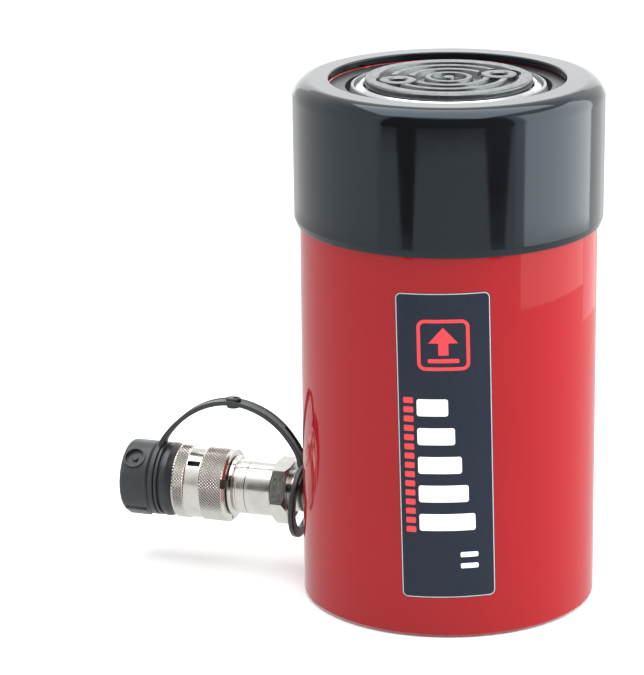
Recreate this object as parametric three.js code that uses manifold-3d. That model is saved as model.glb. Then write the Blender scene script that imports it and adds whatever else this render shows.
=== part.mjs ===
// Hydraulic cylinder: single acting, spring return, with a collar thread protector,
// a quick coupler with its dust cap, and a snap-in grooved saddle.
// Millimetres, +Z up. The origin is the centre of the base face, and the coupler points along -X.
// Each turned piece is given as a profile of [radius, height] points, from the bottom upwards on
// its outside. The coupler's pieces are built in a frame of their own, where +Z runs from the
// body's surface along the coupler's axis and +X points up.

import * as THREE from 'three';
import { mergeVertices } from 'three/addons/utils/BufferGeometryUtils.js';
import Module from 'manifold-3d';

const wasm = await Module();
wasm.setup();

// ---- driving dimensions -------------------------------------------------------------------

const BIG = 40;                 // facets round the body and what screws or pushes onto it
const MEDIUM = 32;              // facets round a piece that moves in the body
const SMALL = 20;               // facets round a small piece
const SADDLE_FACETS = 26;
const GAP = 0.3;                // clearance between pieces that touch

const BODY_RADIUS = 63.5;
const BODY_TOP = 225.1;
const BASE_CHAMFER = 2;
const BORE_RADIUS = 47.6;
const BORE_FLOOR = 26;
const STROKE = 101.6;

const COLLAR_BOTTOM = 169.5;    // lower end of the collar thread
const COLLAR_TOP = 217.6;       // upper end of the collar thread
const COLLAR_RADIUS = 62.7;     // pitch radius of the 5"-12 collar thread
const PILOT_RADIUS = 61.5;      // plain rim above the thread
const PILOT_CHAMFER = 1.4;

const STOP_RING_BOTTOM = 178;
const STOP_RING_SEAT = 51;      // thread radius that holds the stop ring
const STOP_RING_RADIUS = STOP_RING_SEAT - GAP;
const STOP_RING_BORE = 41.2;
const BEARING_SEAT = 43.2;
const BEARING_BOTTOM = 182;
const BEARING_TOP = 206;
const WIPER_SEAT = 43.7;
const WIPER_BOTTOM = 214.6;
const LOCK_SCREW_ANGLE = THREE.MathUtils.degToRad(150.5);

const PLUNGER_RADIUS = 39.7;
const PLUNGER_BORE = 26;
const PLUNGER_BOTTOM = 28.4;
const PLUNGER_TOP = 225.9;
const PLUNGER_SPIGOT = 35.9;    // lower end, which carries the piston head
const WEB_BOTTOM = 190;
const WEB_TOP = 204;
const SADDLE_SEAT = 218.6;      // floor of the recess for the saddle
const STEM_SEAT_RADIUS = 20;

const HEAD_TOP = STOP_RING_BOTTOM + GAP - STROKE - GAP;
const HEAD_BOTTOM = 33.2;
const HEAD_RADIUS = 47.2;
const HEAD_RELIEF = 44;         // lower rim, which lets oil in from the port

const SADDLE_RADIUS = 35.5;
const SADDLE_TOP = 228.6;
const SADDLE_GROOVES = [[25, 29.5], [17.5, 22], [10, 14.5], [2.5, 7.5]];
const SADDLE_GROOVE_DEPTH = 1.2;
const SADDLE_HOLE_CIRCLE = 22;
const SADDLE_HOLE_ANGLE = THREE.MathUtils.degToRad(31);

const SPRING_RADIUS = 19.5;
const SPRING_WIRE = 3.2;
const SPOOL_RADIUS = 14.6;

const PROTECTOR_RADIUS = 66.2;
const PROTECTOR_BOTTOM = 166.4;
const PROTECTOR_TOP = 228.4;
const PROTECTOR_BORE = BODY_RADIUS + GAP;
const PROTECTOR_OPENING = 50.6;

const MOUNT_HOLE_CIRCLE = 47.6; // radius of the circle of the two 1/2"-13 base holes
const MOUNT_HOLE_RADIUS = 5.4;
const MOUNT_HOLE_DEPTH = 19;

const LABEL_WIDTH = 39.8;
const LABEL_HEIGHT = 133.4;
const LABEL_CENTRE = 84.7;
const LABEL_ANGLE = THREE.MathUtils.degToRad(285.2);
const LABEL_TILT = THREE.MathUtils.degToRad(1.3);
const LABEL_RADIUS = 63.6;
const LABEL_THICKNESS = 0.3;

const PORT_HEIGHT = 36.5;
const PORT_RADIUS = 8.6;        // 3/8" taper thread
const PORT_DEPTH = 13;
const OIL_WAY_RADIUS = 3;
const SPOT_FACE_RADIUS = 11;
const SPOT_FACE_DEPTH = 1;

const NECK_RADIUS = 9;
const HEX_FLATS = 26;
const HEX_START = 7.9;
const HEX_END = 15.4;
const COUPLER_RADIUS = 12.25;
const COUPLER_SEAM = 27.4;
const NOSE_RADIUS = 10.8;
const COLLAR_START = 35.6;
const COLLAR_END = 61.3;
const UNION_RADIUS = 16.65;
const UNION_BORE = 14;
const CAP_END = 85.5;
const CAP_HEAD_RADIUS = 16.5;
const CAP_HEAD_START = 74.9;
const CAP_NECK_RADIUS = 12.6;
const CAP_FLANGE_END = 65.6;

const STRAP_WIDTH = 6.5;
const STRAP_THICKNESS = 2.1;
const STRAP_EYELET_WIDTH = 4.6;
const NECK_EYELET_RADIUS = 12.6; // inner radius of the eyelet that hangs on the coupler's neck
const NECK_EYELET_PLACE = 3;
const CAP_EYELET_RADIUS = 12.9;
const CAP_EYELET_PLACE = 69.4;

// ---- shape helpers ------------------------------------------------------------------------

// A solid of revolution about +Z. The profile starts and ends on the axis, or closes on itself.
function turned(profile, facets) {
  const points = profile.map(([radius, height]) => new THREE.Vector2(radius, height));
  return new THREE.LatheGeometry(points, facets).rotateX(Math.PI / 2);
}

// A ring of revolution, whose profile is closed by repeating its first point.
function turnedRing(profile, facets) {
  return turned([...profile, profile[0]], facets);
}

// A ring with a plain rectangular section.
function plainRing(inner, outer, bottom, top, facets) {
  return turnedRing([[inner, bottom], [outer, bottom], [outer, top], [inner, top]], facets);
}

// A ring with a round section of six sides, such as an O-ring.
function roundRing(radius, height, halfWidth, halfHeight, facets) {
  const sides = 6;
  const profile = [];
  for (let side = 0; side < sides; side += 1) {
    const angle = -Math.PI / 2 + (side * 2 * Math.PI) / sides;
    profile.push([radius + halfWidth * Math.cos(angle), height + halfHeight * Math.sin(angle)]);
  }
  return turnedRing(profile, facets);
}

// A solid rod along +Z.
function rod(radius, bottom, top, facets) {
  return turned([[0, bottom], [radius, bottom], [radius, top], [0, top]], facets);
}

// A hexagonal prism along +Z.
function hexPrism(flats, bottom, top) {
  const corner = flats / Math.sqrt(3);
  return rod(corner, bottom, top, 6);
}

// A flat ring with a gap in it, such as a snap ring, standing on z = 0.
function splitRing(inner, outer, thickness, gapAngle, segments) {
  const start = gapAngle / 2;
  const end = 2 * Math.PI - gapAngle / 2;
  const outline = new THREE.Shape();
  outline.absarc(0, 0, outer, start, end, false);
  outline.absarc(0, 0, inner, end, start, true);
  return new THREE.ExtrudeGeometry(outline, {
    depth: thickness,
    bevelEnabled: false,
    curveSegments: segments,
  });
}

// A coil of round wire along +Z, swept as rings of points with a closed end at each tip.
function coil(radius, wire, bottom, top, turns, stepsPerTurn, sides) {
  const steps = turns * stepsPerTurn;
  const positions = [];
  const indices = [];
  for (let step = 0; step <= steps; step += 1) {
    const angle = (step / stepsPerTurn) * 2 * Math.PI;
    const height = bottom + ((top - bottom) * step) / steps;
    for (let side = 0; side < sides; side += 1) {
      const round = (side / sides) * 2 * Math.PI;
      const reach = radius + wire * Math.cos(round);
      positions.push(reach * Math.cos(angle), reach * Math.sin(angle), height + wire * Math.sin(round));
    }
  }
  for (let step = 0; step < steps; step += 1) {
    for (let side = 0; side < sides; side += 1) {
      const here = step * sides + side;
      const beside = step * sides + ((side + 1) % sides);
      indices.push(here, here + sides, beside);
      indices.push(beside, here + sides, beside + sides);
    }
  }
  const last = steps * sides;
  for (let side = 1; side < sides - 1; side += 1) {
    indices.push(0, side, side + 1);
    indices.push(last, last + side + 1, last + side);
  }
  const geometry = new THREE.BufferGeometry();
  geometry.setAttribute('position', new THREE.Float32BufferAttribute(positions, 3));
  geometry.setIndex(indices);
  return geometry;
}

// Makes a three.js geometry a solid that can be cut and joined.
function solid(geometry) {
  const bare = geometry.clone();
  bare.deleteAttribute('normal');
  bare.deleteAttribute('uv');
  const merged = mergeVertices(bare, 1e-4);
  const triangles = [];
  for (let i = 0; i < merged.index.count; i += 3) {
    const [a, b, c] = [0, 1, 2].map((corner) => merged.index.getX(i + corner));
    if (a !== b && b !== c && c !== a) triangles.push(a, b, c);
  }
  return new wasm.Manifold(new wasm.Mesh({
    numProp: 3,
    vertProperties: new Float32Array(merged.attributes.position.array),
    triVerts: new Uint32Array(triangles),
  }));
}

// Gives a cut or joined solid back as a three.js geometry.
function geometryOf(manifold) {
  const mesh = manifold.getMesh();
  const geometry = new THREE.BufferGeometry();
  geometry.setAttribute('position', new THREE.BufferAttribute(mesh.vertProperties, 3));
  geometry.setIndex(new THREE.BufferAttribute(mesh.triVerts, 1));
  return geometry;
}

function cut(base, ...tools) {
  return geometryOf(tools.reduce((left, tool) => left.subtract(solid(tool)), solid(base)));
}

function join(base, ...others) {
  return geometryOf(others.reduce((whole, other) => whole.add(solid(other)), solid(base)));
}

// Turns a geometry made along +Z so that it runs from the body's axis out to the coupler.
function towardsCoupler(geometry) {
  return geometry.rotateY(-Math.PI / 2).translate(0, 0, PORT_HEIGHT);
}

// ---- finishes -----------------------------------------------------------------------------

const FINISHES = {
  redPaint: { color: 0xb01824, roughness: 0.2, metalness: 0 },
  machinedSteel: { color: 0x8b8f92, roughness: 0.35, metalness: 1 },
  chrome: { color: 0xd8dadb, roughness: 0.12, metalness: 1 },
  blackOxide: { color: 0x55595c, roughness: 0.45, metalness: 0.8 },
  nickel: { color: 0xcbc8bd, roughness: 0.2, metalness: 1 },
  springSteel: { color: 0x5b5f63, roughness: 0.4, metalness: 1 },
  bronze: { color: 0xa9803f, roughness: 0.35, metalness: 1 },
  blackVinyl: { color: 0x121416, roughness: 0.15, metalness: 0 },
  blackPlastic: { color: 0x1b1e21, roughness: 0.5, metalness: 0 },
  greyPolymer: { color: 0x6c7073, roughness: 0.6, metalness: 0 },
  nitrileRubber: { color: 0x17181a, roughness: 0.7, metalness: 0 },
  labelFilm: { color: 0x24272a, roughness: 0.3, metalness: 0 },
};

function piece(name, geometry, finish) {
  const mesh = new THREE.Mesh(geometry, new THREE.MeshStandardMaterial(FINISHES[finish]));
  mesh.name = name;
  return mesh;
}

// ---- barrel -------------------------------------------------------------------------------

// The hole for the lock screw lies half in the body and half in the stop ring.
function lockScrewHole(radius, bottom, top) {
  const reach = STOP_RING_SEAT - GAP / 2;
  const x = reach * Math.cos(LOCK_SCREW_ANGLE);
  const y = reach * Math.sin(LOCK_SCREW_ANGLE);
  return rod(radius, bottom, top, 12).translate(x, y, 0);
}

function cylinderBody() {
  const padInner = 28;
  const padOuter = 34;
  const padTop = PLUNGER_BOTTOM - GAP;
  const anchorSeat = 9;
  const anchorFloor = 13;
  const shell = turned([
    [0, 0],
    [BODY_RADIUS - BASE_CHAMFER, 0],
    [BODY_RADIUS, BASE_CHAMFER],
    [BODY_RADIUS, COLLAR_BOTTOM],
    [COLLAR_RADIUS, COLLAR_BOTTOM + BODY_RADIUS - COLLAR_RADIUS],
    [COLLAR_RADIUS, COLLAR_TOP],
    [PILOT_RADIUS, COLLAR_TOP + COLLAR_RADIUS - PILOT_RADIUS],
    [PILOT_RADIUS, BODY_TOP - PILOT_CHAMFER],
    [PILOT_RADIUS - PILOT_CHAMFER, BODY_TOP],
    [STOP_RING_SEAT, BODY_TOP],
    [STOP_RING_SEAT, STOP_RING_BOTTOM],
    [BORE_RADIUS, STOP_RING_BOTTOM],
    [BORE_RADIUS, BORE_FLOOR],
    [padOuter, BORE_FLOOR],
    [padOuter, padTop],
    [padInner, padTop],
    [padInner, BORE_FLOOR],
    [anchorSeat, BORE_FLOOR],
    [anchorSeat, anchorFloor],
    [0, anchorFloor],
  ], BIG);

  const tools = [];
  for (const side of [-1, 1]) {
    const hole = rod(MOUNT_HOLE_RADIUS, -1, MOUNT_HOLE_DEPTH, 20);
    tools.push(hole.translate(0, side * MOUNT_HOLE_CIRCLE, 0));
  }
  const surface = BODY_RADIUS;
  tools.push(towardsCoupler(rod(SPOT_FACE_RADIUS, surface - SPOT_FACE_DEPTH, surface + 1, SMALL)));
  tools.push(towardsCoupler(rod(PORT_RADIUS, surface - PORT_DEPTH, surface + 1, SMALL)));
  tools.push(towardsCoupler(rod(OIL_WAY_RADIUS, BORE_RADIUS - 2, surface, 12)));

  const slotWidth = 6;
  const slotLength = padOuter - padInner + 2;
  const oilSlot = new THREE.BoxGeometry(slotLength, slotWidth, 2 * (padTop - BORE_FLOOR));
  tools.push(oilSlot.translate(-(padInner + padOuter) / 2, 0, padTop));
  tools.push(lockScrewHole(2.6, BODY_TOP - 10, BODY_TOP + 1));
  return cut(shell, ...tools);
}

function stopRing() {
  const ring = turnedRing([
    [STOP_RING_BORE, STOP_RING_BOTTOM + GAP],
    [STOP_RING_RADIUS, STOP_RING_BOTTOM + GAP],
    [STOP_RING_RADIUS, BODY_TOP],
    [WIPER_SEAT, BODY_TOP],
    [WIPER_SEAT, WIPER_BOTTOM],
    [STOP_RING_BORE, WIPER_BOTTOM],
    [STOP_RING_BORE, BEARING_TOP],
    [BEARING_SEAT, BEARING_TOP],
    [BEARING_SEAT, BEARING_BOTTOM],
    [STOP_RING_BORE, BEARING_BOTTOM],
  ], BIG);
  return cut(ring, lockScrewHole(2.6, BODY_TOP - 10, BODY_TOP + 1));
}

function lockScrew() {
  const screw = lockScrewHole(2.3, BODY_TOP - 9.5, BODY_TOP - 1.1);
  const reach = STOP_RING_SEAT - GAP / 2;
  const socket = hexPrism(2.2, BODY_TOP - 5, BODY_TOP);
  socket.translate(reach * Math.cos(LOCK_SCREW_ANGLE), reach * Math.sin(LOCK_SCREW_ANGLE), 0);
  return cut(screw, socket);
}

function wiperRing() {
  const lipInner = PLUNGER_RADIUS + GAP;
  const lipOuter = 41.7;
  const body = WIPER_SEAT - GAP;
  return turnedRing([
    [lipInner, WIPER_BOTTOM + GAP],
    [body, WIPER_BOTTOM + GAP],
    [body, WIPER_BOTTOM + 6],
    [lipOuter, WIPER_BOTTOM + 6],
    [lipOuter, BODY_TOP + 0.5],
    [lipInner, BODY_TOP + 0.9],
  ], MEDIUM);
}

function baseSpringAnchor() {
  return turned([
    [0, 13.4],
    [8.6, 13.4],
    [8.6, BORE_FLOOR + GAP],
    [22, BORE_FLOOR + GAP],
    [22, 30],
    [SPOOL_RADIUS, 30],
    [SPOOL_RADIUS, 54],
    [0, 54],
  ], MEDIUM);
}

// A thin film bent round the body. Its long side leans slightly from the vertical.
function label() {
  const film = new THREE.BoxGeometry(LABEL_WIDTH, LABEL_HEIGHT, LABEL_THICKNESS, 8, 4, 1);
  film.rotateZ(LABEL_TILT);
  const position = film.attributes.position;
  for (let i = 0; i < position.count; i += 1) {
    const angle = LABEL_ANGLE + position.getX(i) / LABEL_RADIUS;
    const reach = LABEL_RADIUS + LABEL_THICKNESS / 2 + position.getZ(i);
    const height = LABEL_CENTRE + position.getY(i);
    position.setXYZ(i, reach * Math.cos(angle), reach * Math.sin(angle), height);
  }
  return film;
}

function barrelPieces() {
  const bearingInner = PLUNGER_RADIUS + GAP;
  const bearingOuter = BEARING_SEAT - GAP;
  const bearing = plainRing(bearingInner, bearingOuter, BEARING_BOTTOM + GAP, BEARING_TOP - GAP, MEDIUM);
  return [
    piece('cylinder_body', cylinderBody(), 'redPaint'),
    piece('stop_ring', stopRing(), 'machinedSteel'),
    piece('stop_ring_lock_screw', lockScrew(), 'blackOxide'),
    piece('guide_bearing', bearing, 'bronze'),
    piece('wiper_ring', wiperRing(), 'greyPolymer'),
    piece('base_spring_anchor', baseSpringAnchor(), 'machinedSteel'),
    piece('label_film', label(), 'labelFilm'),
  ];
}

// ---- plunger ------------------------------------------------------------------------------

function plunger() {
  const edge = 1;
  const seatRadius = SADDLE_RADIUS + 0.4;
  return turnedRing([
    [PLUNGER_BORE, PLUNGER_BOTTOM],
    [PLUNGER_SPIGOT, PLUNGER_BOTTOM],
    [PLUNGER_SPIGOT, 30.6],
    [33.9, 30.6],
    [33.9, 32.9],
    [PLUNGER_SPIGOT, 32.9],
    [PLUNGER_SPIGOT, HEAD_TOP + GAP],
    [PLUNGER_RADIUS, HEAD_TOP + GAP],
    [PLUNGER_RADIUS, PLUNGER_TOP - edge],
    [PLUNGER_RADIUS - edge, PLUNGER_TOP],
    [seatRadius + edge, PLUNGER_TOP],
    [seatRadius, PLUNGER_TOP - edge],
    [seatRadius, SADDLE_SEAT],
    [STEM_SEAT_RADIUS, SADDLE_SEAT],
    [STEM_SEAT_RADIUS, WEB_TOP],
    [6.3, WEB_TOP],
    [6.3, WEB_BOTTOM],
    [PLUNGER_BORE, WEB_BOTTOM],
  ], MEDIUM);
}

function pistonHead() {
  const bore = PLUNGER_SPIGOT + GAP;
  return turnedRing([
    [bore, HEAD_BOTTOM],
    [HEAD_RELIEF, HEAD_BOTTOM],
    [HEAD_RELIEF, 42],
    [HEAD_RADIUS, 42],
    [HEAD_RADIUS, 46],
    [41.5, 46],
    [41.5, 58.4],
    [HEAD_RADIUS, 58.4],
    [HEAD_RADIUS, 61],
    [44.9, 61],
    [44.9, 70],
    [HEAD_RADIUS, 70],
    [HEAD_RADIUS, HEAD_TOP - 1.5],
    [HEAD_RADIUS - 1.5, HEAD_TOP],
    [bore, HEAD_TOP],
    [bore, 54],
    [38.9, 54],
    [38.9, 50],
    [bore, 50],
  ], MEDIUM);
}

// A U-cup whose lips face the oil below.
function pistonSeal() {
  return turnedRing([
    [41.8, 46.3],
    [44.5, 50],
    [47.3, 46.3],
    [47.3, 54.5],
    [41.8, 54.5],
  ], MEDIUM);
}

function plungerSpringAnchor() {
  return turnedRing([
    [5.9, 160],
    [SPOOL_RADIUS, 160],
    [SPOOL_RADIUS, 186],
    [24, 186],
    [24, WEB_BOTTOM - GAP],
    [5.9, WEB_BOTTOM - GAP],
  ], MEDIUM);
}

function anchorBolt() {
  const underHead = 206.3;
  const bolt = turned([
    [0, 166],
    [5.6, 166],
    [5.6, underHead],
    [9, underHead],
    [9, underHead + 7.7],
    [0, underHead + 7.7],
  ], SMALL);
  return cut(bolt, hexPrism(8, underHead + 2, underHead + 9));
}

function plungerPieces() {
  const snapRing = splitRing(34.2, 38.5, 1.7, 0.35, 20).translate(0, 0, 30.9);
  return [
    piece('plunger', plunger(), 'chrome'),
    piece('piston_head', pistonHead(), 'machinedSteel'),
    piece('piston_snap_ring', snapRing, 'springSteel'),
    piece('piston_seal', pistonSeal(), 'nitrileRubber'),
    piece('piston_backup_ring', plainRing(41.8, 47.3, 54.8, 58.1, MEDIUM), 'greyPolymer'),
    piece('piston_wear_ring', plainRing(45.2, 47.3, 61.3, 69.7, MEDIUM), 'bronze'),
    piece('piston_o_ring', roundRing(37.4, 52, 1.15, 1.6, MEDIUM), 'nitrileRubber'),
    piece('plunger_spring_anchor', plungerSpringAnchor(), 'machinedSteel'),
    piece('anchor_bolt', anchorBolt(), 'blackOxide'),
    piece('anchor_seal_washer', plainRing(6.5, 12, WEB_TOP + GAP, 206, SMALL), 'springSteel'),
    piece('return_spring', coil(SPRING_RADIUS, SPRING_WIRE, 34, 182, 11, 8, 4), 'springSteel'),
  ];
}

// ---- saddle -------------------------------------------------------------------------------

// A disc with ring grooves on its face, a groove round its rim and a hollow stem below.
function saddle() {
  const stem = STEM_SEAT_RADIUS - 0.4;
  const profile = [
    [0, SADDLE_SEAT - 0.5],
    [13, SADDLE_SEAT - 0.5],
    [13, WEB_TOP + GAP],
    [stem - 1, WEB_TOP + GAP],
    [stem, WEB_TOP + 1.3],
    [stem, 208],
    [17.6, 208],
    [17.6, 211.5],
    [stem, 211.5],
    [stem, SADDLE_SEAT + GAP],
    [SADDLE_RADIUS, SADDLE_SEAT + GAP],
    [SADDLE_RADIUS, SADDLE_TOP - 5.8],
    [SADDLE_RADIUS - 1.2, SADDLE_TOP - 5.2],
    [SADDLE_RADIUS - 1.2, SADDLE_TOP - 4.2],
    [SADDLE_RADIUS, SADDLE_TOP - 3.6],
    [SADDLE_RADIUS, SADDLE_TOP - 0.6],
    [SADDLE_RADIUS - 0.6, SADDLE_TOP],
  ];
  for (const [inner, outer] of SADDLE_GROOVES) {
    profile.push([outer, SADDLE_TOP]);
    profile.push([outer, SADDLE_TOP - SADDLE_GROOVE_DEPTH]);
    profile.push([inner, SADDLE_TOP - SADDLE_GROOVE_DEPTH]);
    profile.push([inner, SADDLE_TOP]);
  }
  profile.push([0, SADDLE_TOP]);

  const bosses = [];
  const holes = [];
  for (const side of [0, Math.PI]) {
    const x = SADDLE_HOLE_CIRCLE * Math.cos(SADDLE_HOLE_ANGLE + side);
    const y = SADDLE_HOLE_CIRCLE * Math.sin(SADDLE_HOLE_ANGLE + side);
    bosses.push(rod(7, SADDLE_TOP - 3, SADDLE_TOP, 12).translate(x, y, 0));
    holes.push(rod(3.8, SADDLE_TOP - 5, SADDLE_TOP + 1, 8).translate(x, y, 0));
  }
  return cut(join(turned(profile, SADDLE_FACETS), ...bosses), ...holes);
}

function saddlePieces() {
  return [
    piece('saddle', saddle(), 'blackOxide'),
    piece('saddle_retaining_ring', roundRing(18.75, 209.75, 0.85, 1.3, 26), 'nitrileRubber'),
  ];
}

// ---- thread protector ---------------------------------------------------------------------

// A push-on cap with a wide opening in its top, which covers the collar thread.
function threadProtector() {
  const inside = BODY_TOP + 0.4;
  return turnedRing([
    [PROTECTOR_BORE, PROTECTOR_BOTTOM],
    [PROTECTOR_BORE + 0.7, PROTECTOR_BOTTOM],
    [PROTECTOR_RADIUS - 0.3, PROTECTOR_BOTTOM + 4.6],
    [PROTECTOR_RADIUS, PROTECTOR_TOP - 10],
    [PROTECTOR_RADIUS - 1, PROTECTOR_TOP - 5.4],
    [PROTECTOR_RADIUS - 3.5, PROTECTOR_TOP - 1.8],
    [PROTECTOR_RADIUS - 6.8, PROTECTOR_TOP],
    [PROTECTOR_OPENING, PROTECTOR_TOP],
    [PROTECTOR_OPENING, inside],
    [PROTECTOR_BORE - 2.2, inside],
    [PROTECTOR_BORE, inside - 2.2],
  ], BIG);
}

// ---- coupler ------------------------------------------------------------------------------

// Taper thread, neck, hexagon and the rear half of the round body.
function couplerRearBody() {
  const tail = turnedRing([
    [OIL_WAY_RADIUS, -PORT_DEPTH + 0.5],
    [PORT_RADIUS - GAP, -PORT_DEPTH + 0.5],
    [PORT_RADIUS - GAP, 0.8],
    [NECK_RADIUS, 0.8],
    [NECK_RADIUS, HEX_START],
    [COUPLER_RADIUS, HEX_START],
    [COUPLER_RADIUS, COUPLER_SEAM - GAP],
    [9.8, COUPLER_SEAM - GAP],
    [9.8, 14],
    [OIL_WAY_RADIUS, 14],
  ], SMALL);
  const nut = cut(hexPrism(HEX_FLATS, HEX_START, HEX_END), rod(COUPLER_RADIUS - 1, 0, 20, SMALL));
  return join(tail, nut);
}

// Front half of the body, with a spigot in the rear half and the nose that the mating half enters.
function couplerFrontBody() {
  return turnedRing([
    [8, 20],
    [9.5, 20],
    [9.5, COUPLER_SEAM],
    [COUPLER_RADIUS, COUPLER_SEAM],
    [COUPLER_RADIUS, 32.6],
    [13.6, 33.4],
    [13.6, COLLAR_START - 0.4],
    [NOSE_RADIUS, COLLAR_START - 0.4],
    [NOSE_RADIUS, 40.6],
    [9.7, 40.6],
    [9.7, 42.3],
    [NOSE_RADIUS, 42.3],
    [NOSE_RADIUS, 55],
    [NOSE_RADIUS - 0.8, 56],
    [6.2, 56],
    [6.2, 50],
    [8, 47],
  ], SMALL);
}

function poppet() {
  return turned([
    [0, 30],
    [3.5, 30],
    [3.5, 43.9],
    [7.3, 43.9],
    [7.3, 46.2],
    [5.5, 50],
    [5.5, 55],
    [4.8, 55.6],
    [0, 55.6],
  ], 16);
}

function unionCollar() {
  const bandStart = 47.8;
  const bandEnd = 54.7;
  const band = UNION_RADIUS - 0.7;
  return turnedRing([
    [NOSE_RADIUS + 0.4, COLLAR_START],
    [UNION_RADIUS - 1.2, COLLAR_START],
    [UNION_RADIUS, COLLAR_START + 1.2],
    [UNION_RADIUS, bandStart],
    [band, bandStart + 0.2],
    [band, bandEnd - 0.2],
    [UNION_RADIUS, bandEnd],
    [UNION_RADIUS, COLLAR_END - 1],
    [UNION_RADIUS - 1, COLLAR_END],
    [UNION_BORE, COLLAR_END],
    [UNION_BORE, 40.2],
    [NOSE_RADIUS + 0.4, 40.2],
  ], SMALL);
}

// A hollow screw plug, a flange, a neck for the strap's eyelet and a round head with a grip rib.
function dustCap() {
  const plug = UNION_BORE - 0.4;
  const flange = COLLAR_END + 0.4;
  const cap = turned([
    [0, 58.3],
    [NOSE_RADIUS + 0.4, 58.3],
    [NOSE_RADIUS + 0.4, 46.5],
    [plug, 46.5],
    [plug, flange],
    [UNION_RADIUS - 1.2, flange],
    [UNION_RADIUS, flange + 1.6],
    [UNION_RADIUS, CAP_FLANGE_END],
    [CAP_NECK_RADIUS, CAP_FLANGE_END],
    [CAP_NECK_RADIUS, CAP_HEAD_START],
    [CAP_HEAD_RADIUS, CAP_HEAD_START],
    [CAP_HEAD_RADIUS, CAP_END - 2],
    [CAP_HEAD_RADIUS - 0.8, CAP_END - 0.6],
    [CAP_HEAD_RADIUS - 2.6, CAP_END],
    [0, CAP_END],
  ], SMALL);
  const ribWidth = 5;
  const ribHeight = 3.5;
  const rib = new THREE.BoxGeometry(ribHeight, ribWidth, CAP_END - CAP_HEAD_START - 2.5);
  rib.translate(-CAP_HEAD_RADIUS + 0.4, 0, (CAP_END + CAP_HEAD_START) / 2 - 0.6);
  const emblem = rod(4.6, CAP_HEAD_RADIUS - 3, CAP_HEAD_RADIUS + 0.5, 16);
  emblem.rotateY(Math.PI / 2).rotateZ(THREE.MathUtils.degToRad(-42));
  emblem.translate(0, 0, (CAP_END + CAP_HEAD_START) / 2);
  return join(cap, rib, emblem);
}

// A flat eyelet across the coupler's axis, standing on its own z = 0.
function eyelet(inner, outer) {
  return plainRing(inner, outer, 0, STRAP_THICKNESS, SMALL);
}

// A flexible strap: an eyelet that hangs on the neck, an arched band and an eyelet on the cap.
function capStrap() {
  const neckOuter = NECK_EYELET_RADIUS + STRAP_EYELET_WIDTH;
  const capOuter = CAP_EYELET_RADIUS + STRAP_EYELET_WIDTH - 0.9;
  const hang = NECK_RADIUS + GAP - NECK_EYELET_RADIUS;
  const neckEyelet = eyelet(NECK_EYELET_RADIUS, neckOuter).translate(hang, 0, NECK_EYELET_PLACE);
  const capEyelet = eyelet(CAP_EYELET_RADIUS, capOuter).translate(0, 0, CAP_EYELET_PLACE);

  const middle = STRAP_THICKNESS / 2;
  const route = new THREE.CatmullRomCurve3([
    new THREE.Vector3(neckOuter + hang - 1.5, 0, NECK_EYELET_PLACE + middle),
    new THREE.Vector3(22, 0, 7.5),
    new THREE.Vector3(33, 0, 17),
    new THREE.Vector3(38.6, 0, 30),
    new THREE.Vector3(38.4, 0, 42),
    new THREE.Vector3(33, 0, 54),
    new THREE.Vector3(25, 0, 63.5),
    new THREE.Vector3(capOuter - 1.2, 0, CAP_EYELET_PLACE + middle),
  ]);
  const section = new THREE.Shape([
    new THREE.Vector2(-STRAP_WIDTH / 2, -middle),
    new THREE.Vector2(STRAP_WIDTH / 2, -middle),
    new THREE.Vector2(STRAP_WIDTH / 2, middle),
    new THREE.Vector2(-STRAP_WIDTH / 2, middle),
  ]);
  const band = new THREE.ExtrudeGeometry(section, { steps: 22, bevelEnabled: false, extrudePath: route });
  return join(neckEyelet, capEyelet, band);
}

function coupler() {
  const group = new THREE.Group();
  group.position.set(-BODY_RADIUS, 0, PORT_HEIGHT);
  group.rotation.y = -Math.PI / 2;
  const snapRing = splitRing(10, 13.4, 1.1, 0.5, 12).translate(0, 0, 40.9);
  group.add(
    piece('coupler_rear_body', couplerRearBody(), 'nickel'),
    piece('coupler_front_body', couplerFrontBody(), 'nickel'),
    piece('coupler_o_ring', roundRing(8.7, 17.5, 0.8, 1.2, SMALL), 'nitrileRubber'),
    piece('poppet', poppet(), 'machinedSteel'),
    piece('poppet_spring', coil(5.7, 0.7, 15.5, 42.8, 5, 8, 3), 'springSteel'),
    piece('collar_snap_ring', snapRing, 'springSteel'),
    piece('union_collar', unionCollar(), 'nickel'),
    piece('dust_cap', dustCap(), 'blackPlastic'),
    piece('dust_cap_seal', plainRing(7.2, 10.8, 56.4, 58, SMALL), 'nitrileRubber'),
    piece('cap_strap', capStrap(), 'blackPlastic'),
  );
  return group;
}

// ---- assembly -----------------------------------------------------------------------------

const hydraulicCylinder = new THREE.Group();
hydraulicCylinder.add(...barrelPieces(), ...plungerPieces(), ...saddlePieces());
hydraulicCylinder.add(piece('thread_protector', threadProtector(), 'blackVinyl'));
hydraulicCylinder.add(coupler());

export default hydraulicCylinder;
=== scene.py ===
"""Looks of a hydraulic cylinder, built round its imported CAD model.

Sizes are in millimetres, and become metres where a mesh is made. Places come from the CAD model's
boxes. A turned piece is a list of (radius, height, corner radius) points that is spun round +Z.
The coupler's pieces are made in a frame of their own, where +Z runs out along the coupler from the
body's surface and +X points up.
"""

import math

import bmesh
import bpy
import numpy as np
from mathutils import Matrix, Vector


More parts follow.
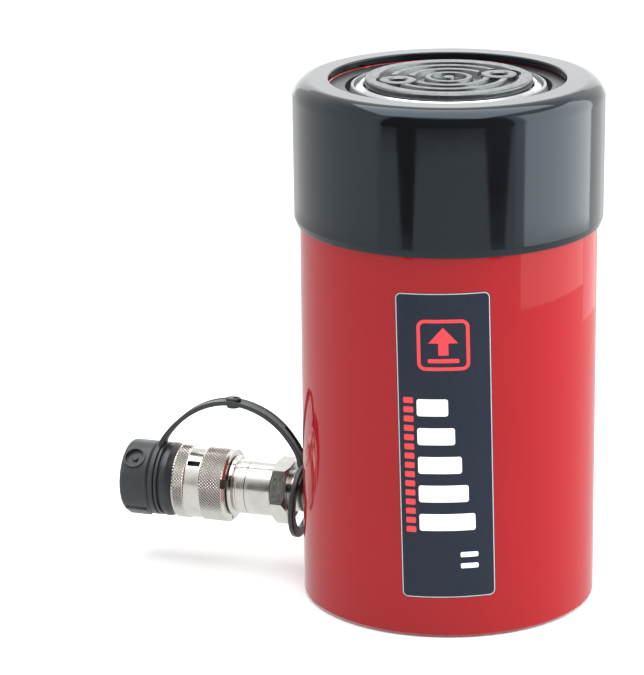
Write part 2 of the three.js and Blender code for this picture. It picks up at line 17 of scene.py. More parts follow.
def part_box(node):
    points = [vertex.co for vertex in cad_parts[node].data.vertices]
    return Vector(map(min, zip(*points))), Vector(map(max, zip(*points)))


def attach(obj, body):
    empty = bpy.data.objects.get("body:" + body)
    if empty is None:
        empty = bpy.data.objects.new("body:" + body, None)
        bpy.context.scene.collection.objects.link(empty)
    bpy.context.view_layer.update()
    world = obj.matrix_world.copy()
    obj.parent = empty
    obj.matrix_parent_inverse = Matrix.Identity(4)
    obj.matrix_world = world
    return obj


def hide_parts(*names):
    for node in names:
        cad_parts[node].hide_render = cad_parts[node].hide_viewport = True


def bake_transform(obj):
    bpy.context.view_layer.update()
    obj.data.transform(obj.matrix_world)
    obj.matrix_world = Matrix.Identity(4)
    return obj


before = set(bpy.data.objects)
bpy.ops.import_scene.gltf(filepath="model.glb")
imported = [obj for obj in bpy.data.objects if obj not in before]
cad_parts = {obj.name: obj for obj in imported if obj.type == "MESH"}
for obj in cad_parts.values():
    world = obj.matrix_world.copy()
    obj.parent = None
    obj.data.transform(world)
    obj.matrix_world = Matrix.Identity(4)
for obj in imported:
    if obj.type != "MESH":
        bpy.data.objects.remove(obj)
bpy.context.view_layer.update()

MM = 0.001
FINE = 288
MIDDLE = 192
COARSE = 128


# ---- sizes from the frame -----------------------------------------------------------------

def box_mm(node):
    """Lowest and highest corner of a CAD node, in millimetres."""
    low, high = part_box(node)
    return low / MM, high / MM


BODY_RADIUS = box_mm("cylinder_body")[1].x
BODY_TOP = box_mm("cylinder_body")[1].z
STOP_RING_BOTTOM = box_mm("stop_ring")[0].z
STOP_RING_RADIUS = box_mm("stop_ring")[1].x
WIPER_BOTTOM = box_mm("wiper_ring")[0].z
WIPER_TOP = box_mm("wiper_ring")[1].z
PLUNGER_RADIUS = box_mm("plunger")[1].x
PLUNGER_BOTTOM, PLUNGER_TOP = (corner.z for corner in box_mm("plunger"))
SADDLE_BOTTOM, SADDLE_TOP = (corner.z for corner in box_mm("saddle"))
PROTECTOR_BOTTOM, PROTECTOR_TOP = (corner.z for corner in box_mm("thread_protector"))
PROTECTOR_RADIUS = box_mm("thread_protector")[1].x
COLLAR_BOX = box_mm("union_collar")
COUPLER_HEIGHT = (COLLAR_BOX[0].z + COLLAR_BOX[1].z) / 2
UNION_RADIUS = (COLLAR_BOX[1].z - COLLAR_BOX[0].z) / 2
COLLAR_START = -COLLAR_BOX[1].x - BODY_RADIUS
COLLAR_END = -COLLAR_BOX[0].x - BODY_RADIUS
CAP_END = -box_mm("dust_cap")[0].x - BODY_RADIUS
LABEL_LOW, LABEL_HIGH = box_mm("label_film")

# Turns the coupler's own frame into the part's frame.
COUPLER_PLACE = Matrix((
    (0, 0, -1, -BODY_RADIUS), (0, 1, 0, 0), (1, 0, 0, COUPLER_HEIGHT), (0, 0, 0, 1),
))


# ---- mesh helpers -------------------------------------------------------------------------

def outline(corners, closed):
    """Points of a profile, in which each corner with a radius has become an arc."""
    arc_step = math.radians(14)
    support = 0.12
    points = []
    count = len(corners)
    for i, (r, z, radius) in enumerate(corners):
        here = np.array((r, z), float)
        is_end = not closed and i in (0, count - 1)
        if is_end or radius == 0:
            points.append(here)
            continue
        before = np.array(corners[i - 1][:2], float)
        after = np.array(corners[(i + 1) % count][:2], float)
        back = before - here
        ahead = after - here
        back_length = np.linalg.norm(back)
        ahead_length = np.linalg.norm(ahead)
        back /= back_length
        ahead /= ahead_length
        half = math.acos(max(-1, min(1, float(back @ ahead)))) / 2
        reach = min(radius / math.tan(half), 0.45 * back_length, 0.45 * ahead_length)
        radius = reach * math.tan(half)
        middle = (back + ahead) / np.linalg.norm(back + ahead)
        centre = here + middle * radius / math.sin(half)
        first = here + back * reach - centre
        last = here + ahead * reach - centre
        turn = math.pi - 2 * half
        steps = max(2, math.ceil(turn / arc_step))
        if back_length - reach > 4 * support:
            points.append(here + back * (reach + support))
        for step in range(steps + 1):
            share = step / steps
            blend = math.sin((1 - share) * turn) * first + math.sin(share * turn) * last
            points.append(centre + blend / math.sin(turn))
        if ahead_length - reach > 4 * support:
            points.append(here + ahead * (reach + support))
    return np.array(points)


def new_object(name, data):
    made = bpy.data.objects.new(name, data)
    bpy.context.scene.collection.objects.link(made)
    return made


def make_object(name, vertices, faces, place=None):
    """A mesh object in metres from vertices in millimetres, with doubles merged and faces outward."""
    mesh = bpy.data.meshes.new(name)
    vertices = np.asarray(vertices, float) * MM
    mesh.from_pydata(vertices.tolist(), [], faces)
    work = bmesh.new()
    work.from_mesh(mesh)
    bmesh.ops.remove_doubles(work, verts=work.verts, dist=2e-7)
    bmesh.ops.recalc_face_normals(work, faces=work.faces)
    work.to_mesh(mesh)
    work.free()
    if place is not None:
        offset = place.copy()
        offset.translation = place.translation * MM
        mesh.transform(offset)
    return new_object(name, mesh)


def polar(radius, angle):
    return radius * math.cos(angle), radius * math.sin(angle)


def grid_faces(rows, across, wrap_rows, wrap_across=True):
    """Quads between rows of that many points."""
    faces = []
    for row in range(rows if wrap_rows else rows - 1):
        here = row * across
        above = (row + 1) % rows * across
        for k in range(across if wrap_across else across - 1):
            beside = (k + 1) % across
            faces.append((here + k, here + beside, above + beside, above + k))
    return faces


def end_caps(rows, across):
    """The two faces that close a grid's first and last row."""
    last = (rows - 1) * across
    return [tuple(range(across)), tuple(reversed(range(last, last + across)))]


def spin_rows(points, segments, wrap_rows):
    """Vertices and quads of rows of points spun round +Z."""
    angles = np.arange(segments) * 2 * math.pi / segments
    vertices = [(*polar(r, angle), z) for r, z in points for angle in angles]
    return vertices, grid_faces(len(points), segments, wrap_rows)


def revolve(name, corners, closed=True, segments=MIDDLE, place=None):
    """A solid of revolution. An open profile starts and ends on the axis."""
    vertices, faces = spin_rows(outline(corners, closed), segments, closed)
    return make_object(name, vertices, faces, place)


def prism(name, outline_points, bottom, top, place=None):
    """A solid with a flat outline, along +Z."""
    count = len(outline_points)
    vertices = [(x, y, bottom) for x, y in outline_points] + [(x, y, top) for x, y in outline_points]
    faces = [tuple(reversed(range(count))), tuple(range(count, 2 * count))]
    for k in range(count):
        beside = (k + 1) % count
        faces.append((k, beside, count + beside, count + k))
    return make_object(name, vertices, faces, place)


def apply_modifier(target, modifier):
    """Makes the modifier's result the object's own mesh."""
    bpy.context.view_layer.update()
    evaluated = target.evaluated_get(bpy.context.evaluated_depsgraph_get())
    result = bpy.data.meshes.new_from_object(evaluated)
    target.modifiers.remove(modifier)
    old = target.data
    target.data = result
    bpy.data.meshes.remove(old)


def combine(target, tool, operation):
    """Changes target by tool, which is used up."""
    modifier = target.modifiers.new("combine", "BOOLEAN")
    modifier.operation = operation
    modifier.solver = "EXACT"
    modifier.object = tool
    apply_modifier(target, modifier)
    bpy.data.objects.remove(tool)


def cut(target, tool):
    combine(target, tool, "DIFFERENCE")


def join(target, tool):
    combine(target, tool, "UNION")


def bevelled(target, width, segments=3):
    """Rounds the sharp edges of a piece."""
    modifier = target.modifiers.new("round", "BEVEL")
    modifier.width = width * MM
    modifier.segments = segments
    modifier.limit_method = "ANGLE"
    modifier.angle_limit = math.radians(35)
    modifier.harden_normals = False
    apply_modifier(target, modifier)
    return target


def show(piece, body, finish, *nodes):
    """Gives a piece its finish and smooth shading, and makes it stand for its CAD nodes."""
    piece.data.materials.clear()
    piece.data.materials.append(finish.material)
    piece.data.polygons.foreach_set("material_index", [0] * len(piece.data.polygons))
    piece.data.shade_smooth()
    piece.data.set_sharp_from_angle(angle=math.radians(34))
    if body is not None:
        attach(piece, body)
    if nodes:
        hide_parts(*nodes)
    return piece


def oval(length, width, count, x=0, y=0):
    """Outline of an ellipse with its middle at x, y."""
    angles = [2 * math.pi * k / count for k in range(count)]
    return [(x + length / 2 * math.cos(angle), y + width / 2 * math.sin(angle)) for angle in angles]


def circle_points(radius, count, x=0, y=0):
    return oval(2 * radius, 2 * radius, count, x, y)


def turned(degrees, axis="Z"):
    return Matrix.Rotation(math.radians(degrees), 4, axis)


# ---- materials ----------------------------------------------------------------------------

class Finish:
    """A material and its slot. Each layer of detail returns the finish, so that layers chain."""

    def __init__(self, name, slot, color, roughness, metallic=0.0, **sockets):
        self.slot = slot
        self.material = bpy.data.materials.new(name)
        self.material.use_nodes = True
        self.tree = self.material.node_tree
        self.shader = self.tree.nodes["Principled BSDF"]
        self.shader.inputs["Base Color"].default_value = (*color, 1)
        self.shader.inputs["Roughness"].default_value = roughness
        self.shader.inputs["Metallic"].default_value = metallic
        for socket, value in sockets.items():
            self.shader.inputs[socket.replace("_", " ")].default_value = value
        self.coordinates = self.add("ShaderNodeTexCoord").outputs["Object"]
        self.last_bump = None

    def add(self, kind, **settings):
        node = self.tree.nodes.new(kind)
        for key, value in settings.items():
            setattr(node, key, value)
        return node

    def link(self, source, target):
        self.tree.links.new(source, target)

    def around(self, centre=(0, 0, 0), turn=(0, 0, 0)):
        """Coordinates (distance from the axis, 0, height along it), for lathe marks."""
        mapping = self.add("ShaderNodeMapping", vector_type="TEXTURE")
        mapping.inputs["Location"].default_value = centre
        mapping.inputs["Rotation"].default_value = turn
        self.link(self.coordinates, mapping.inputs["Vector"])
        split = self.add("ShaderNodeSeparateXYZ")
        self.link(mapping.outputs["Vector"], split.inputs[0])
        flat = self.add("ShaderNodeCombineXYZ")
        self.link(split.outputs["X"], flat.inputs["X"])
        self.link(split.outputs["Y"], flat.inputs["Y"])
        length = self.add("ShaderNodeVectorMath", operation="LENGTH")
        self.link(flat.outputs[0], length.inputs[0])
        joined = self.add("ShaderNodeCombineXYZ")
        self.link(length.outputs["Value"], joined.inputs["X"])
        self.link(split.outputs["Z"], joined.inputs["Z"])
        return joined.outputs[0]

    def noise(self, scale, detail, roughness=0.5, vector=None):
        node = self.add("ShaderNodeTexNoise")
        node.inputs["Scale"].default_value = scale
        node.inputs["Detail"].default_value = detail
        node.inputs["Roughness"].default_value = roughness
        self.link(vector or self.coordinates, node.inputs["Vector"])
        return node.outputs["Fac"]

    def vary_roughness(self, value, low, high):
        node = self.add("ShaderNodeMapRange")
        node.inputs["From Min"].default_value = 0.3
        node.inputs["From Max"].default_value = 0.7
        node.inputs["To Min"].default_value = low
        node.inputs["To Max"].default_value = high
        self.link(value, node.inputs["Value"])
        self.link(node.outputs["Result"], self.shader.inputs["Roughness"])

    def bump(self, value, depth_mm):
        """Adds relief of that depth to what is there already."""
        node = self.add("ShaderNodeBump")
        node.inputs["Strength"].default_value = 1
        node.inputs["Distance"].default_value = depth_mm * MM
        self.link(value, node.inputs["Height"])
        if self.last_bump is not None:
            self.link(self.last_bump, node.inputs["Normal"])
        self.last_bump = node.outputs["Normal"]
        self.link(self.last_bump, self.shader.inputs["Normal"])

    def mottled(self, scale, detail, first, second, roughness=0.5):
        """Patches between two colors."""
        ramp = self.add("ShaderNodeValToRGB")
        for element, position, color in zip(ramp.color_ramp.elements, (0.3, 0.7), (first, second)):
            element.position = position
            element.color = (*color, 1)
        self.link(self.noise(scale, detail, roughness), ramp.inputs["Fac"])
        self.link(ramp.outputs["Color"], self.shader.inputs["Base Color"])
        return self

    def worn(self, scale, detail, low, high, roughness=0.5):
        """Patches between two roughnesses."""
        self.vary_roughness(self.noise(scale, detail, roughness), low, high)
        return self

    def grained(self, scale, detail, depth_mm):
        """Relief that is the same in every direction."""
        self.bump(self.noise(scale, detail), depth_mm)
        return self

    def lathed(self, scale, depth_mm, worn=None, **axis):
        """Fine rings round an axis, as relief, and as gloss where a range of roughness is given."""
        marks = self.noise(scale, 2, 0.6, self.around(**axis))
        if worn:
            self.vary_roughness(marks, *worn)
        self.bump(marks, depth_mm)
        return self


COUPLER_AXIS = {"centre": (-BODY_RADIUS * MM, 0, COUPLER_HEIGHT * MM), "turn": (0, -math.pi / 2, 0)}

RED = Finish("red_paint", "red_paint", (0.255, 0.0055, 0.0085), 0.35, Specular_IOR_Level=0.0,
             Coat_Weight=0.9, Coat_Roughness=0.03, Coat_IOR=1.45)
RED.mottled(9, 3, (0.248, 0.0052, 0.0080), (0.265, 0.0058, 0.0090)).worn(60, 3, 0.3, 0.4)
RED.grained(420, 2, 0.008).grained(55, 1, 0.03)

VINYL = Finish("black_vinyl", "black_vinyl", (0.0055, 0.0058, 0.0068), 0.1, IOR=1.48,
               Specular_Tint=(0.72, 0.88, 1, 1))
VINYL.mottled(30, 3, (0.0052, 0.0055, 0.0064), (0.0062, 0.0066, 0.0078)).worn(90, 4, 0.07, 0.12)
VINYL.grained(38, 2, 0.05).grained(900, 2, 0.003)

STEEL = Finish("turned_steel", "machined_steel", (0.36, 0.37, 0.38), 0.34, 1.0)
STEEL.mottled(140, 4, (0.33, 0.34, 0.35), (0.42, 0.43, 0.44)).lathed(2600, 0.012, (0.28, 0.42))

DARK_STEEL = Finish("dark_steel", "machined_steel", (0.055, 0.058, 0.060), 0.36, 0.9)
DARK_STEEL.mottled(200, 4, (0.047, 0.050, 0.052), (0.066, 0.070, 0.072)).lathed(2600, 0.003, (0.3, 0.42))

CHROME = Finish("ground_chrome", "hard_chrome", (0.63, 0.64, 0.65), 0.16, 1.0)
CHROME.lathed(3200, 0.004, (0.13, 0.22))

OXIDE = Finish("black_oxide", "black_oxide", (0.13, 0.14, 0.145), 0.34, 0.9)
OXIDE.mottled(260, 5, (0.11, 0.12, 0.125), (0.15, 0.16, 0.166), 0.6).worn(480, 4, 0.26, 0.42, 0.6)
OXIDE.grained(1500, 3, 0.004).lathed(3600, 0.002)

NICKEL = Finish("bright_nickel", "nickel_plate", (0.68, 0.665, 0.625), 0.2, 1.0)
NICKEL.mottled(160, 4, (0.64, 0.625, 0.585), (0.72, 0.705, 0.665))
NICKEL.lathed(2400, 0.006, (0.16, 0.27), **COUPLER_AXIS)

# Darker, rougher nickel for the bottoms of the knurl's grooves. Its dark colour is painted shade in the
# grooves.
GROOVE_SHADE_NICKEL = Finish("nickel_with_painted_groove_shade", "nickel_plate", (0.22, 0.21, 0.19), 0.5, 0.8)
GROOVE_SHADE_NICKEL.mottled(400, 3, (0.18, 0.17, 0.15), (0.26, 0.25, 0.22)).grained(2400, 2, 0.004)

SPRING = Finish("spring_steel", "spring_steel", (0.24, 0.25, 0.27), 0.36, 1.0)
SPRING.mottled(300, 4, (0.19, 0.20, 0.22), (0.29, 0.30, 0.32)).grained(2000, 2, 0.006)

BRONZE = Finish("bearing_bronze", "bearing_bronze", (0.55, 0.36, 0.15), 0.32, 1.0)
BRONZE.mottled(180, 4, (0.50, 0.32, 0.13), (0.62, 0.42, 0.19)).lathed(2400, 0.006)

PLASTIC = Finish("moulded_plastic", "black_plastic", (0.018, 0.022, 0.026), 0.36)
PLASTIC.mottled(200, 4, (0.015, 0.019, 0.023), (0.022, 0.027, 0.031)).worn(500, 3, 0.3, 0.42)
PLASTIC.grained(2600, 3, 0.01)

POLYMER = Finish("grey_polymer", "grey_polymer", (0.24, 0.25, 0.26), 0.45)
POLYMER.mottled(300, 3, (0.21, 0.22, 0.23), (0.28, 0.29, 0.30)).grained(1800, 3, 0.008)

RUBBER = Finish("seal_rubber", "seal_rubber", (0.016, 0.016, 0.018), 0.5)
RUBBER.worn(400, 3, 0.42, 0.6).grained(2200, 3, 0.01)


def printed(name, color, roughness=0.35, coat=0.5, shine=0.5):
    """Film or screen-printed ink, with the faint grain of the paint below it."""
    finish = Finish(name, "label_film", color, roughness, Coat_Weight=coat, Coat_Roughness=0.1,
                    Specular_IOR_Level=shine)
    lighter = tuple(min(1, part * 1.12 + 0.002) for part in color)
    return finish.mottled(700, 3, color, lighter).grained(420, 2, 0.01)


FILM = printed("label_film", (0.0075, 0.0125, 0.025), 0.3, 0.0, 0.3)
WHITE_INK = printed("white_ink", (0.82, 0.83, 0.84))
RED_INK = printed("red_ink", (0.62, 0.02, 0.03))
GREY_INK = printed("grey_ink", (0.34, 0.36, 0.38))

FLOOR = Finish("studio_floor", "studio_floor", (0.86, 0.86, 0.86), 0.6)
FLOOR.grained(60, 2, 0.02)


# ---- barrel -------------------------------------------------------------------------------

THREAD_PITCH = 25.4 / 12
THREAD_DEPTH = 1.15
THREAD_TOP = BODY_TOP - 7.5
THREAD_BOTTOM = BODY_TOP - 55.6
THREAD_RUNOUT = 1.6
# One turn of the thread, as (share of the pitch, share of the depth).
THREAD_FORM = ((0, 0), (0.26, 0), (0.34, 0.1), (0.56, 0.92), (0.62, 1), (0.68, 0.92), (0.92, 0.1))
BASE_HOLE_REACH = 47.6


def smooth_step(value):
    value = max(0.0, min(1.0, value))
    return value * value * (3 - 2 * value)


def helical_thread(radius, segments):
    """A helical thread as a grid whose rows follow the helix, squeezed flat at both ends."""
    turns = math.ceil((THREAD_TOP - THREAD_BOTTOM) / THREAD_PITCH) + 1
    start = THREAD_BOTTOM - THREAD_PITCH
    rows = [(k + share, depth) for k in range(turns + 1) for share, depth in THREAD_FORM]
    vertices = []
    for place, depth in rows:
        for k in range(segments + 1):
            turn = k / segments
            z = start + THREAD_PITCH * (place + turn)
            z = max(THREAD_BOTTOM, min(THREAD_TOP, z))
            fade = smooth_step((z - THREAD_BOTTOM) / THREAD_RUNOUT)
            fade *= smooth_step((THREAD_TOP - z) / THREAD_RUNOUT)
            r = radius - THREAD_DEPTH * depth * fade
            vertices.append((*polar(r, 2 * math.pi * turn), z))
    return vertices, grid_faces(len(rows), segments + 1, False, False)


def cylinder_body():
    thread_radius = BODY_RADIUS - 0.15
    bore = box_mm("piston_wear_ring")[1].x + 0.3
    floor = box_mm("base_spring_anchor")[0].z + 12.6
    seat = STOP_RING_RADIUS + 0.3
    pilot = BODY_RADIUS - 2.0
    below = [
        (0, 0, 0), (BODY_RADIUS - 1.2, 0, 0.4), (BODY_RADIUS, 1.2, 0.5),
        (BODY_RADIUS, THREAD_BOTTOM - 1.2, 0), (BODY_RADIUS, THREAD_BOTTOM - 0.4, 0),
        (thread_radius, THREAD_BOTTOM, 0),
    ]
    above = [
        (thread_radius, THREAD_TOP, 0), (thread_radius, THREAD_TOP + 0.5, 0.2),
        (pilot, THREAD_TOP + 2.2, 0.5), (pilot - 0.3, BODY_TOP - 1.0, 0.5),
        (pilot - 1.4, BODY_TOP, 0.4), (seat + 0.5, BODY_TOP, 0.2), (seat, BODY_TOP - 0.5, 0.2),
        (seat, STOP_RING_BOTTOM - 0.3, 0.2), (bore, STOP_RING_BOTTOM - 0.3, 0.2),
        (bore, floor, 0.8), (9, floor, 0.3), (9, floor - 13, 0.3), (0, floor - 13, 0),
    ]
    vertices, faces = spin_rows(outline(below, False), FINE, False)
    for more_vertices, more_faces in (
        helical_thread(thread_radius, FINE),
        spin_rows(outline(above, False), FINE, False),
    ):
        offset = len(vertices)
        vertices += more_vertices
        faces += [tuple(offset + k for k in face) for face in more_faces]
    body = make_object("painted_body", vertices, faces)

    spot_face = [(0, -13, 0), (8.6, -13, 0), (8.6, -1.6, 0), (9.2, -1, 0), (11, -1, 0), (11, 3, 0),
                 (0, 3, 0)]
    cut(body, revolve("port_tool", spot_face, False, COARSE, COUPLER_PLACE))
    oil_way = [(0, -20, 0), (3, -20, 0), (3, -10, 0), (0, -10, 0)]
    cut(body, revolve("oil_way_tool", oil_way, False, 48, COUPLER_PLACE))
    for side in (-1, 1):
        cut(body, base_hole_tool(side * BASE_HOLE_REACH))
    return show(body, "barrel", RED, "cylinder_body")


def base_hole_tool(y):
    """The shape of a tapped blind hole: a coned mouth, thread rings and a drill point."""
    pitch = 25.4 / 13
    profile = [(0, -1, 0), (8.4, -1, 0)]
    for turn in range(8):
        z = 1.5 + turn * pitch
        profile += [(5.4, z, 0), (6.3, z + pitch / 2, 0)]
    profile += [(5.4, 17.2, 0), (5.4, 18, 0), (0, 19, 0)]
    return revolve("base_hole_tool", profile, False, 48, Matrix.Translation((0, y, 0)))


def stop_ring():
    inner = PLUNGER_RADIUS + 1.5
    wiper_seat = PLUNGER_RADIUS + 4.0
    ring = revolve("stop_ring_turned", [
        (inner, STOP_RING_BOTTOM, 0.3), (STOP_RING_RADIUS, STOP_RING_BOTTOM, 0.4),
        (STOP_RING_RADIUS, BODY_TOP - 0.15, 0.35), (wiper_seat, BODY_TOP - 0.15, 0.3),
        (wiper_seat, WIPER_BOTTOM - 0.3, 0.3), (inner, WIPER_BOTTOM - 0.3, 0.3), (inner, 206, 0.3),
        (inner + 2, 206, 0.2), (inner + 2, 182, 0.2), (inner, 182, 0.3),
    ], True, FINE)
    low, high = box_mm("stop_ring_lock_screw")
    centre = (low + high) / 2
    hole = prism("lock_hole", circle_points(2.6, 40, centre.x, centre.y), low.z - 0.6, BODY_TOP + 1)
    cut(ring, hole)
    show(ring, "barrel", DARK_STEEL, "stop_ring")

    place = Matrix.Translation((centre.x, centre.y, low.z))
    tall = high.z - low.z
    shank = [(0, 0, 0), (2.3, 0, 0.3), (2.3, tall, 0.4), (0, tall, 0)]
    screw = revolve("lock_screw", shank, False, 48, place)
    socket = prism("lock_socket", circle_points(1.3, 6, centre.x, centre.y), high.z - 3.5, high.z + 1)
    cut(screw, socket)
    show(screw, "barrel", OXIDE, "stop_ring_lock_screw")


def wiper_ring():
    inner = PLUNGER_RADIUS + 0.3
    ring = revolve("wiper_lip_ring", [
        (inner, WIPER_BOTTOM, 0.3), (inner + 3.4, WIPER_BOTTOM, 0.3),
        (inner + 3.4, WIPER_BOTTOM + 5.5, 0.4), (inner + 2.2, WIPER_BOTTOM + 6.2, 0.5),
        (inner + 1.3, WIPER_TOP - 0.4, 0.4), (inner + 0.1, WIPER_TOP, 0.2),
    ], True, FINE)
    return show(ring, "barrel", POLYMER, "wiper_ring")


def ring_in_box(name, node, body, finish, inner, fillet):
    """A ring of rectangular section with rounded corners, as tall and wide as its CAD node."""
    low, high = box_mm(node)
    corners = (inner, low.z), (high.x, low.z), (high.x, high.z), (inner, high.z)
    return show(revolve(name, [(r, z, fillet) for r, z in corners]), body, finish, node)


# ---- plunger and saddle -------------------------------------------------------------------

def plunger():
    seat = 35.9
    recess = PLUNGER_TOP - 7.3
    edge = 2.4
    spigot = 35.9
    head_top = box_mm("piston_head")[1].z
    tube = revolve("plunger_chromed", [
        (26, PLUNGER_BOTTOM, 0.6), (spigot, PLUNGER_BOTTOM, 0.6), (spigot, 30.6, 0.1),
        (33.9, 30.6, 0.2), (33.9, 32.9, 0.2), (spigot, 32.9, 0.1), (spigot, head_top + 0.3, 0.3),
        (PLUNGER_RADIUS, head_top + 0.3, 0.5), (PLUNGER_RADIUS, PLUNGER_TOP - 1.3, 0.3),
        (PLUNGER_RADIUS - edge, PLUNGER_TOP, 0.3), (seat + 0.7, PLUNGER_TOP, 0.2),
        (seat, PLUNGER_TOP - 0.7, 0.2), (seat, recess, 0.5), (20, recess, 0.4), (20, 204, 0.5),
        (6.3, 204, 0.3), (6.3, 190, 0.3), (26, 190, 1.0),
    ], True, FINE)
    return show(tube, "plunger", CHROME, "plunger")


SADDLE_RADIUS = 35.5
SADDLE_GROOVES = ((25, 29.5), (17.5, 22), (10, 14.5), (2.5, 7.5))
SADDLE_GROOVE_DEPTH = 2.0
SADDLE_HOLE_REACH = 22
SADDLE_HOLE_TURN = 31


def saddle():
    stem = 19.6
    profile = [
        (0, SADDLE_TOP - 10.5, 0), (13, SADDLE_TOP - 10.5, 0.5), (13, SADDLE_BOTTOM, 0.4),
        (stem - 1, SADDLE_BOTTOM, 0.3), (stem, SADDLE_BOTTOM + 1, 0.3), (stem, 208, 0.2),
        (17.6, 208, 0.3), (17.6, 211.5, 0.3), (stem, 211.5, 0.2), (stem, SADDLE_TOP - 9.7, 0.3),
        (SADDLE_RADIUS, SADDLE_TOP - 9.7, 0.5), (SADDLE_RADIUS, SADDLE_TOP - 5.0, 0.2),
        (SADDLE_RADIUS - 1.3, SADDLE_TOP - 4.5, 0.3), (SADDLE_RADIUS - 1.3, SADDLE_TOP - 3.4, 0.3),
        (SADDLE_RADIUS, SADDLE_TOP - 2.9, 0.3), (SADDLE_RADIUS, SADDLE_TOP, 1.1),
    ]
    for inner, outer in SADDLE_GROOVES:
        profile += [
            (outer + 0.2, SADDLE_TOP, 0.35), (outer - 0.4, SADDLE_TOP - SADDLE_GROOVE_DEPTH, 0.5),
            (inner + 0.4, SADDLE_TOP - SADDLE_GROOVE_DEPTH, 0.5), (inner - 0.2, SADDLE_TOP, 0.35),
        ]
    profile.append((0, SADDLE_TOP, 0))
    disc = revolve("saddle_grooved", profile, False, FINE)
    for side in (0, math.pi):
        angle = math.radians(SADDLE_HOLE_TURN) + side
        place = Matrix.Translation((*polar(SADDLE_HOLE_REACH, angle), 0))
        top = SADDLE_TOP
        moat = [(0, top - 2.1, 0), (9.2, top - 2.1, 0.4), (9.5, top + 1, 0), (0, top + 1, 0)]
        cut(disc, revolve("moat", moat, False, 64, place))
        boss = [(0, top - 3, 0), (7.6, top - 3, 0), (7.6, top, 0.5), (0, top, 0)]
        join(disc, revolve("boss", boss, False, 64, place))
        hole = [(0, top - 5.5, 0), (3.7, top - 5.5, 0), (3.7, top - 0.6, 0), (4.6, top + 0.3, 0),
                (4.6, top + 2, 0), (0, top + 2, 0)]
        cut(disc, revolve("hole", hole, False, 48, place))
    return show(disc, "saddle", OXIDE, "saddle")


# ---- thread protector ---------------------------------------------------------------------

PROTECTOR_OPENING = 50.3
# The opening is moulded slightly off centre, to the left and back of the front.
OPENING_SHIFT = Vector((-0.62, 0.13))


def thread_protector():
    inside = BODY_TOP + 0.12
    cap = revolve("collar_protector", [
        (BODY_RADIUS + 0.2, PROTECTOR_BOTTOM, 0.1), (PROTECTOR_RADIUS - 1.2, PROTECTOR_BOTTOM, 0.9),
        (PROTECTOR_RADIUS - 0.2, PROTECTOR_BOTTOM + 3.0, 2.0),
        (PROTECTOR_RADIUS, PROTECTOR_TOP - 18, 4.0), (PROTECTOR_RADIUS, PROTECTOR_TOP, 9.5),
        (PROTECTOR_OPENING, PROTECTOR_TOP, 0.7), (PROTECTOR_OPENING + 0.3, inside, 0.5),
        (BODY_RADIUS - 2.0, inside, 1.0), (BODY_RADIUS + 0.2, inside - 2.2, 1.0),
    ], True, FINE)
    for vertex in cap.data.vertices:
        reach = vertex.co.xy.length / MM
        share = smooth_step((PROTECTOR_OPENING + 4 - reach) / 4)
        vertex.co.xy += OPENING_SHIFT * share * MM
    return show(cap, "thread_protector", VINYL, "thread_protector")


# ---- label --------------------------------------------------------------------------------

LABEL_WIDTH = 39.8
LABEL_HEIGHT = 133.4
LABEL_MIDDLE = (LABEL_LOW.z + LABEL_HIGH.z) / 2
LABEL_ANGLE = math.atan2((LABEL_LOW.y + LABEL_HIGH.y) / 2, (LABEL_LOW.x + LABEL_HIGH.x) / 2)
LABEL_TILT = math.radians(1.3)
FILM_BOTTOM = BODY_RADIUS + 0.02
FILM_TOP = BODY_RADIUS + 0.14


def rounded_rectangle(width, height, radius, x=0, y=0, steps=8):
    """Outline of a rectangle with rounded corners, counter-clockwise."""
    points = []
    for corner, (side, rise) in enumerate(((1, -1), (1, 1), (-1, 1), (-1, -1))):
        centre_x = x + side * (width / 2 - radius)
        centre_y = y + rise * (height / 2 - radius)
        for step in range(steps + 1):
            angle = (corner - 1 + step / steps) * math.pi / 2
            points.append((centre_x + radius * math.cos(angle), centre_y + radius * math.sin(angle)))
    return points


def bent_film(name, outlines, bottom, top):
    """Flat outlines on the label, in millimetres across and up, made thin solids round the body."""
    work = bmesh.new()
    for points in outlines:
        made = [work.verts.new((x, y, 0)) for x, y in points]
        work.faces.new(made)
    bmesh.ops.remove_doubles(work, verts=work.verts, dist=1e-4)
    for axis, step in (((1, 0, 0), 1.5), ((0, 1, 0), 12.0)):
        reach = LABEL_HEIGHT if axis[1] else LABEL_WIDTH
        for k in range(int(-reach / 2 / step) - 1, int(reach / 2 / step) + 2):
            point = Vector(axis) * (k * step + 0.011)
            geometry = work.verts[:] + work.edges[:] + work.faces[:]
            bmesh.ops.bisect_plane(work, geom=geometry, plane_co=point, plane_no=axis, dist=1e-5)
    raised = bmesh.ops.extrude_face_region(work, geom=work.faces[:])["geom"]
    for item in raised:
        if isinstance(item, bmesh.types.BMVert):
            item.co.z = 1
    bmesh.ops.recalc_face_normals(work, faces=work.faces[:])
    for vertex in work.verts:
        across = vertex.co.x * math.cos(LABEL_TILT) - vertex.co.y * math.sin(LABEL_TILT)
        height = vertex.co.y * math.cos(LABEL_TILT) + vertex.co.x * math.sin(LABEL_TILT)
        angle = LABEL_ANGLE + across / BODY_RADIUS
        radius = bottom + (top - bottom) * vertex.co.z
        vertex.co = Vector((*polar(radius, angle), LABEL_MIDDLE + height)) * MM
    mesh = bpy.data.meshes.new(name)
    work.to_mesh(mesh)
    work.free()
    return new_object(name, mesh)


def frame_outlines(width, height, radius, line, y=0):
    """A thin rounded frame as a ring of four-cornered outlines."""
    outer = rounded_rectangle(width, height, radius, 0, y)
    inner = rounded_rectangle(width - 2 * line, height - 2 * line, radius - line, 0, y)
    return [[outer[k - 1], outer[k], inner[k], inner[k - 1]] for k in range(len(outer))]


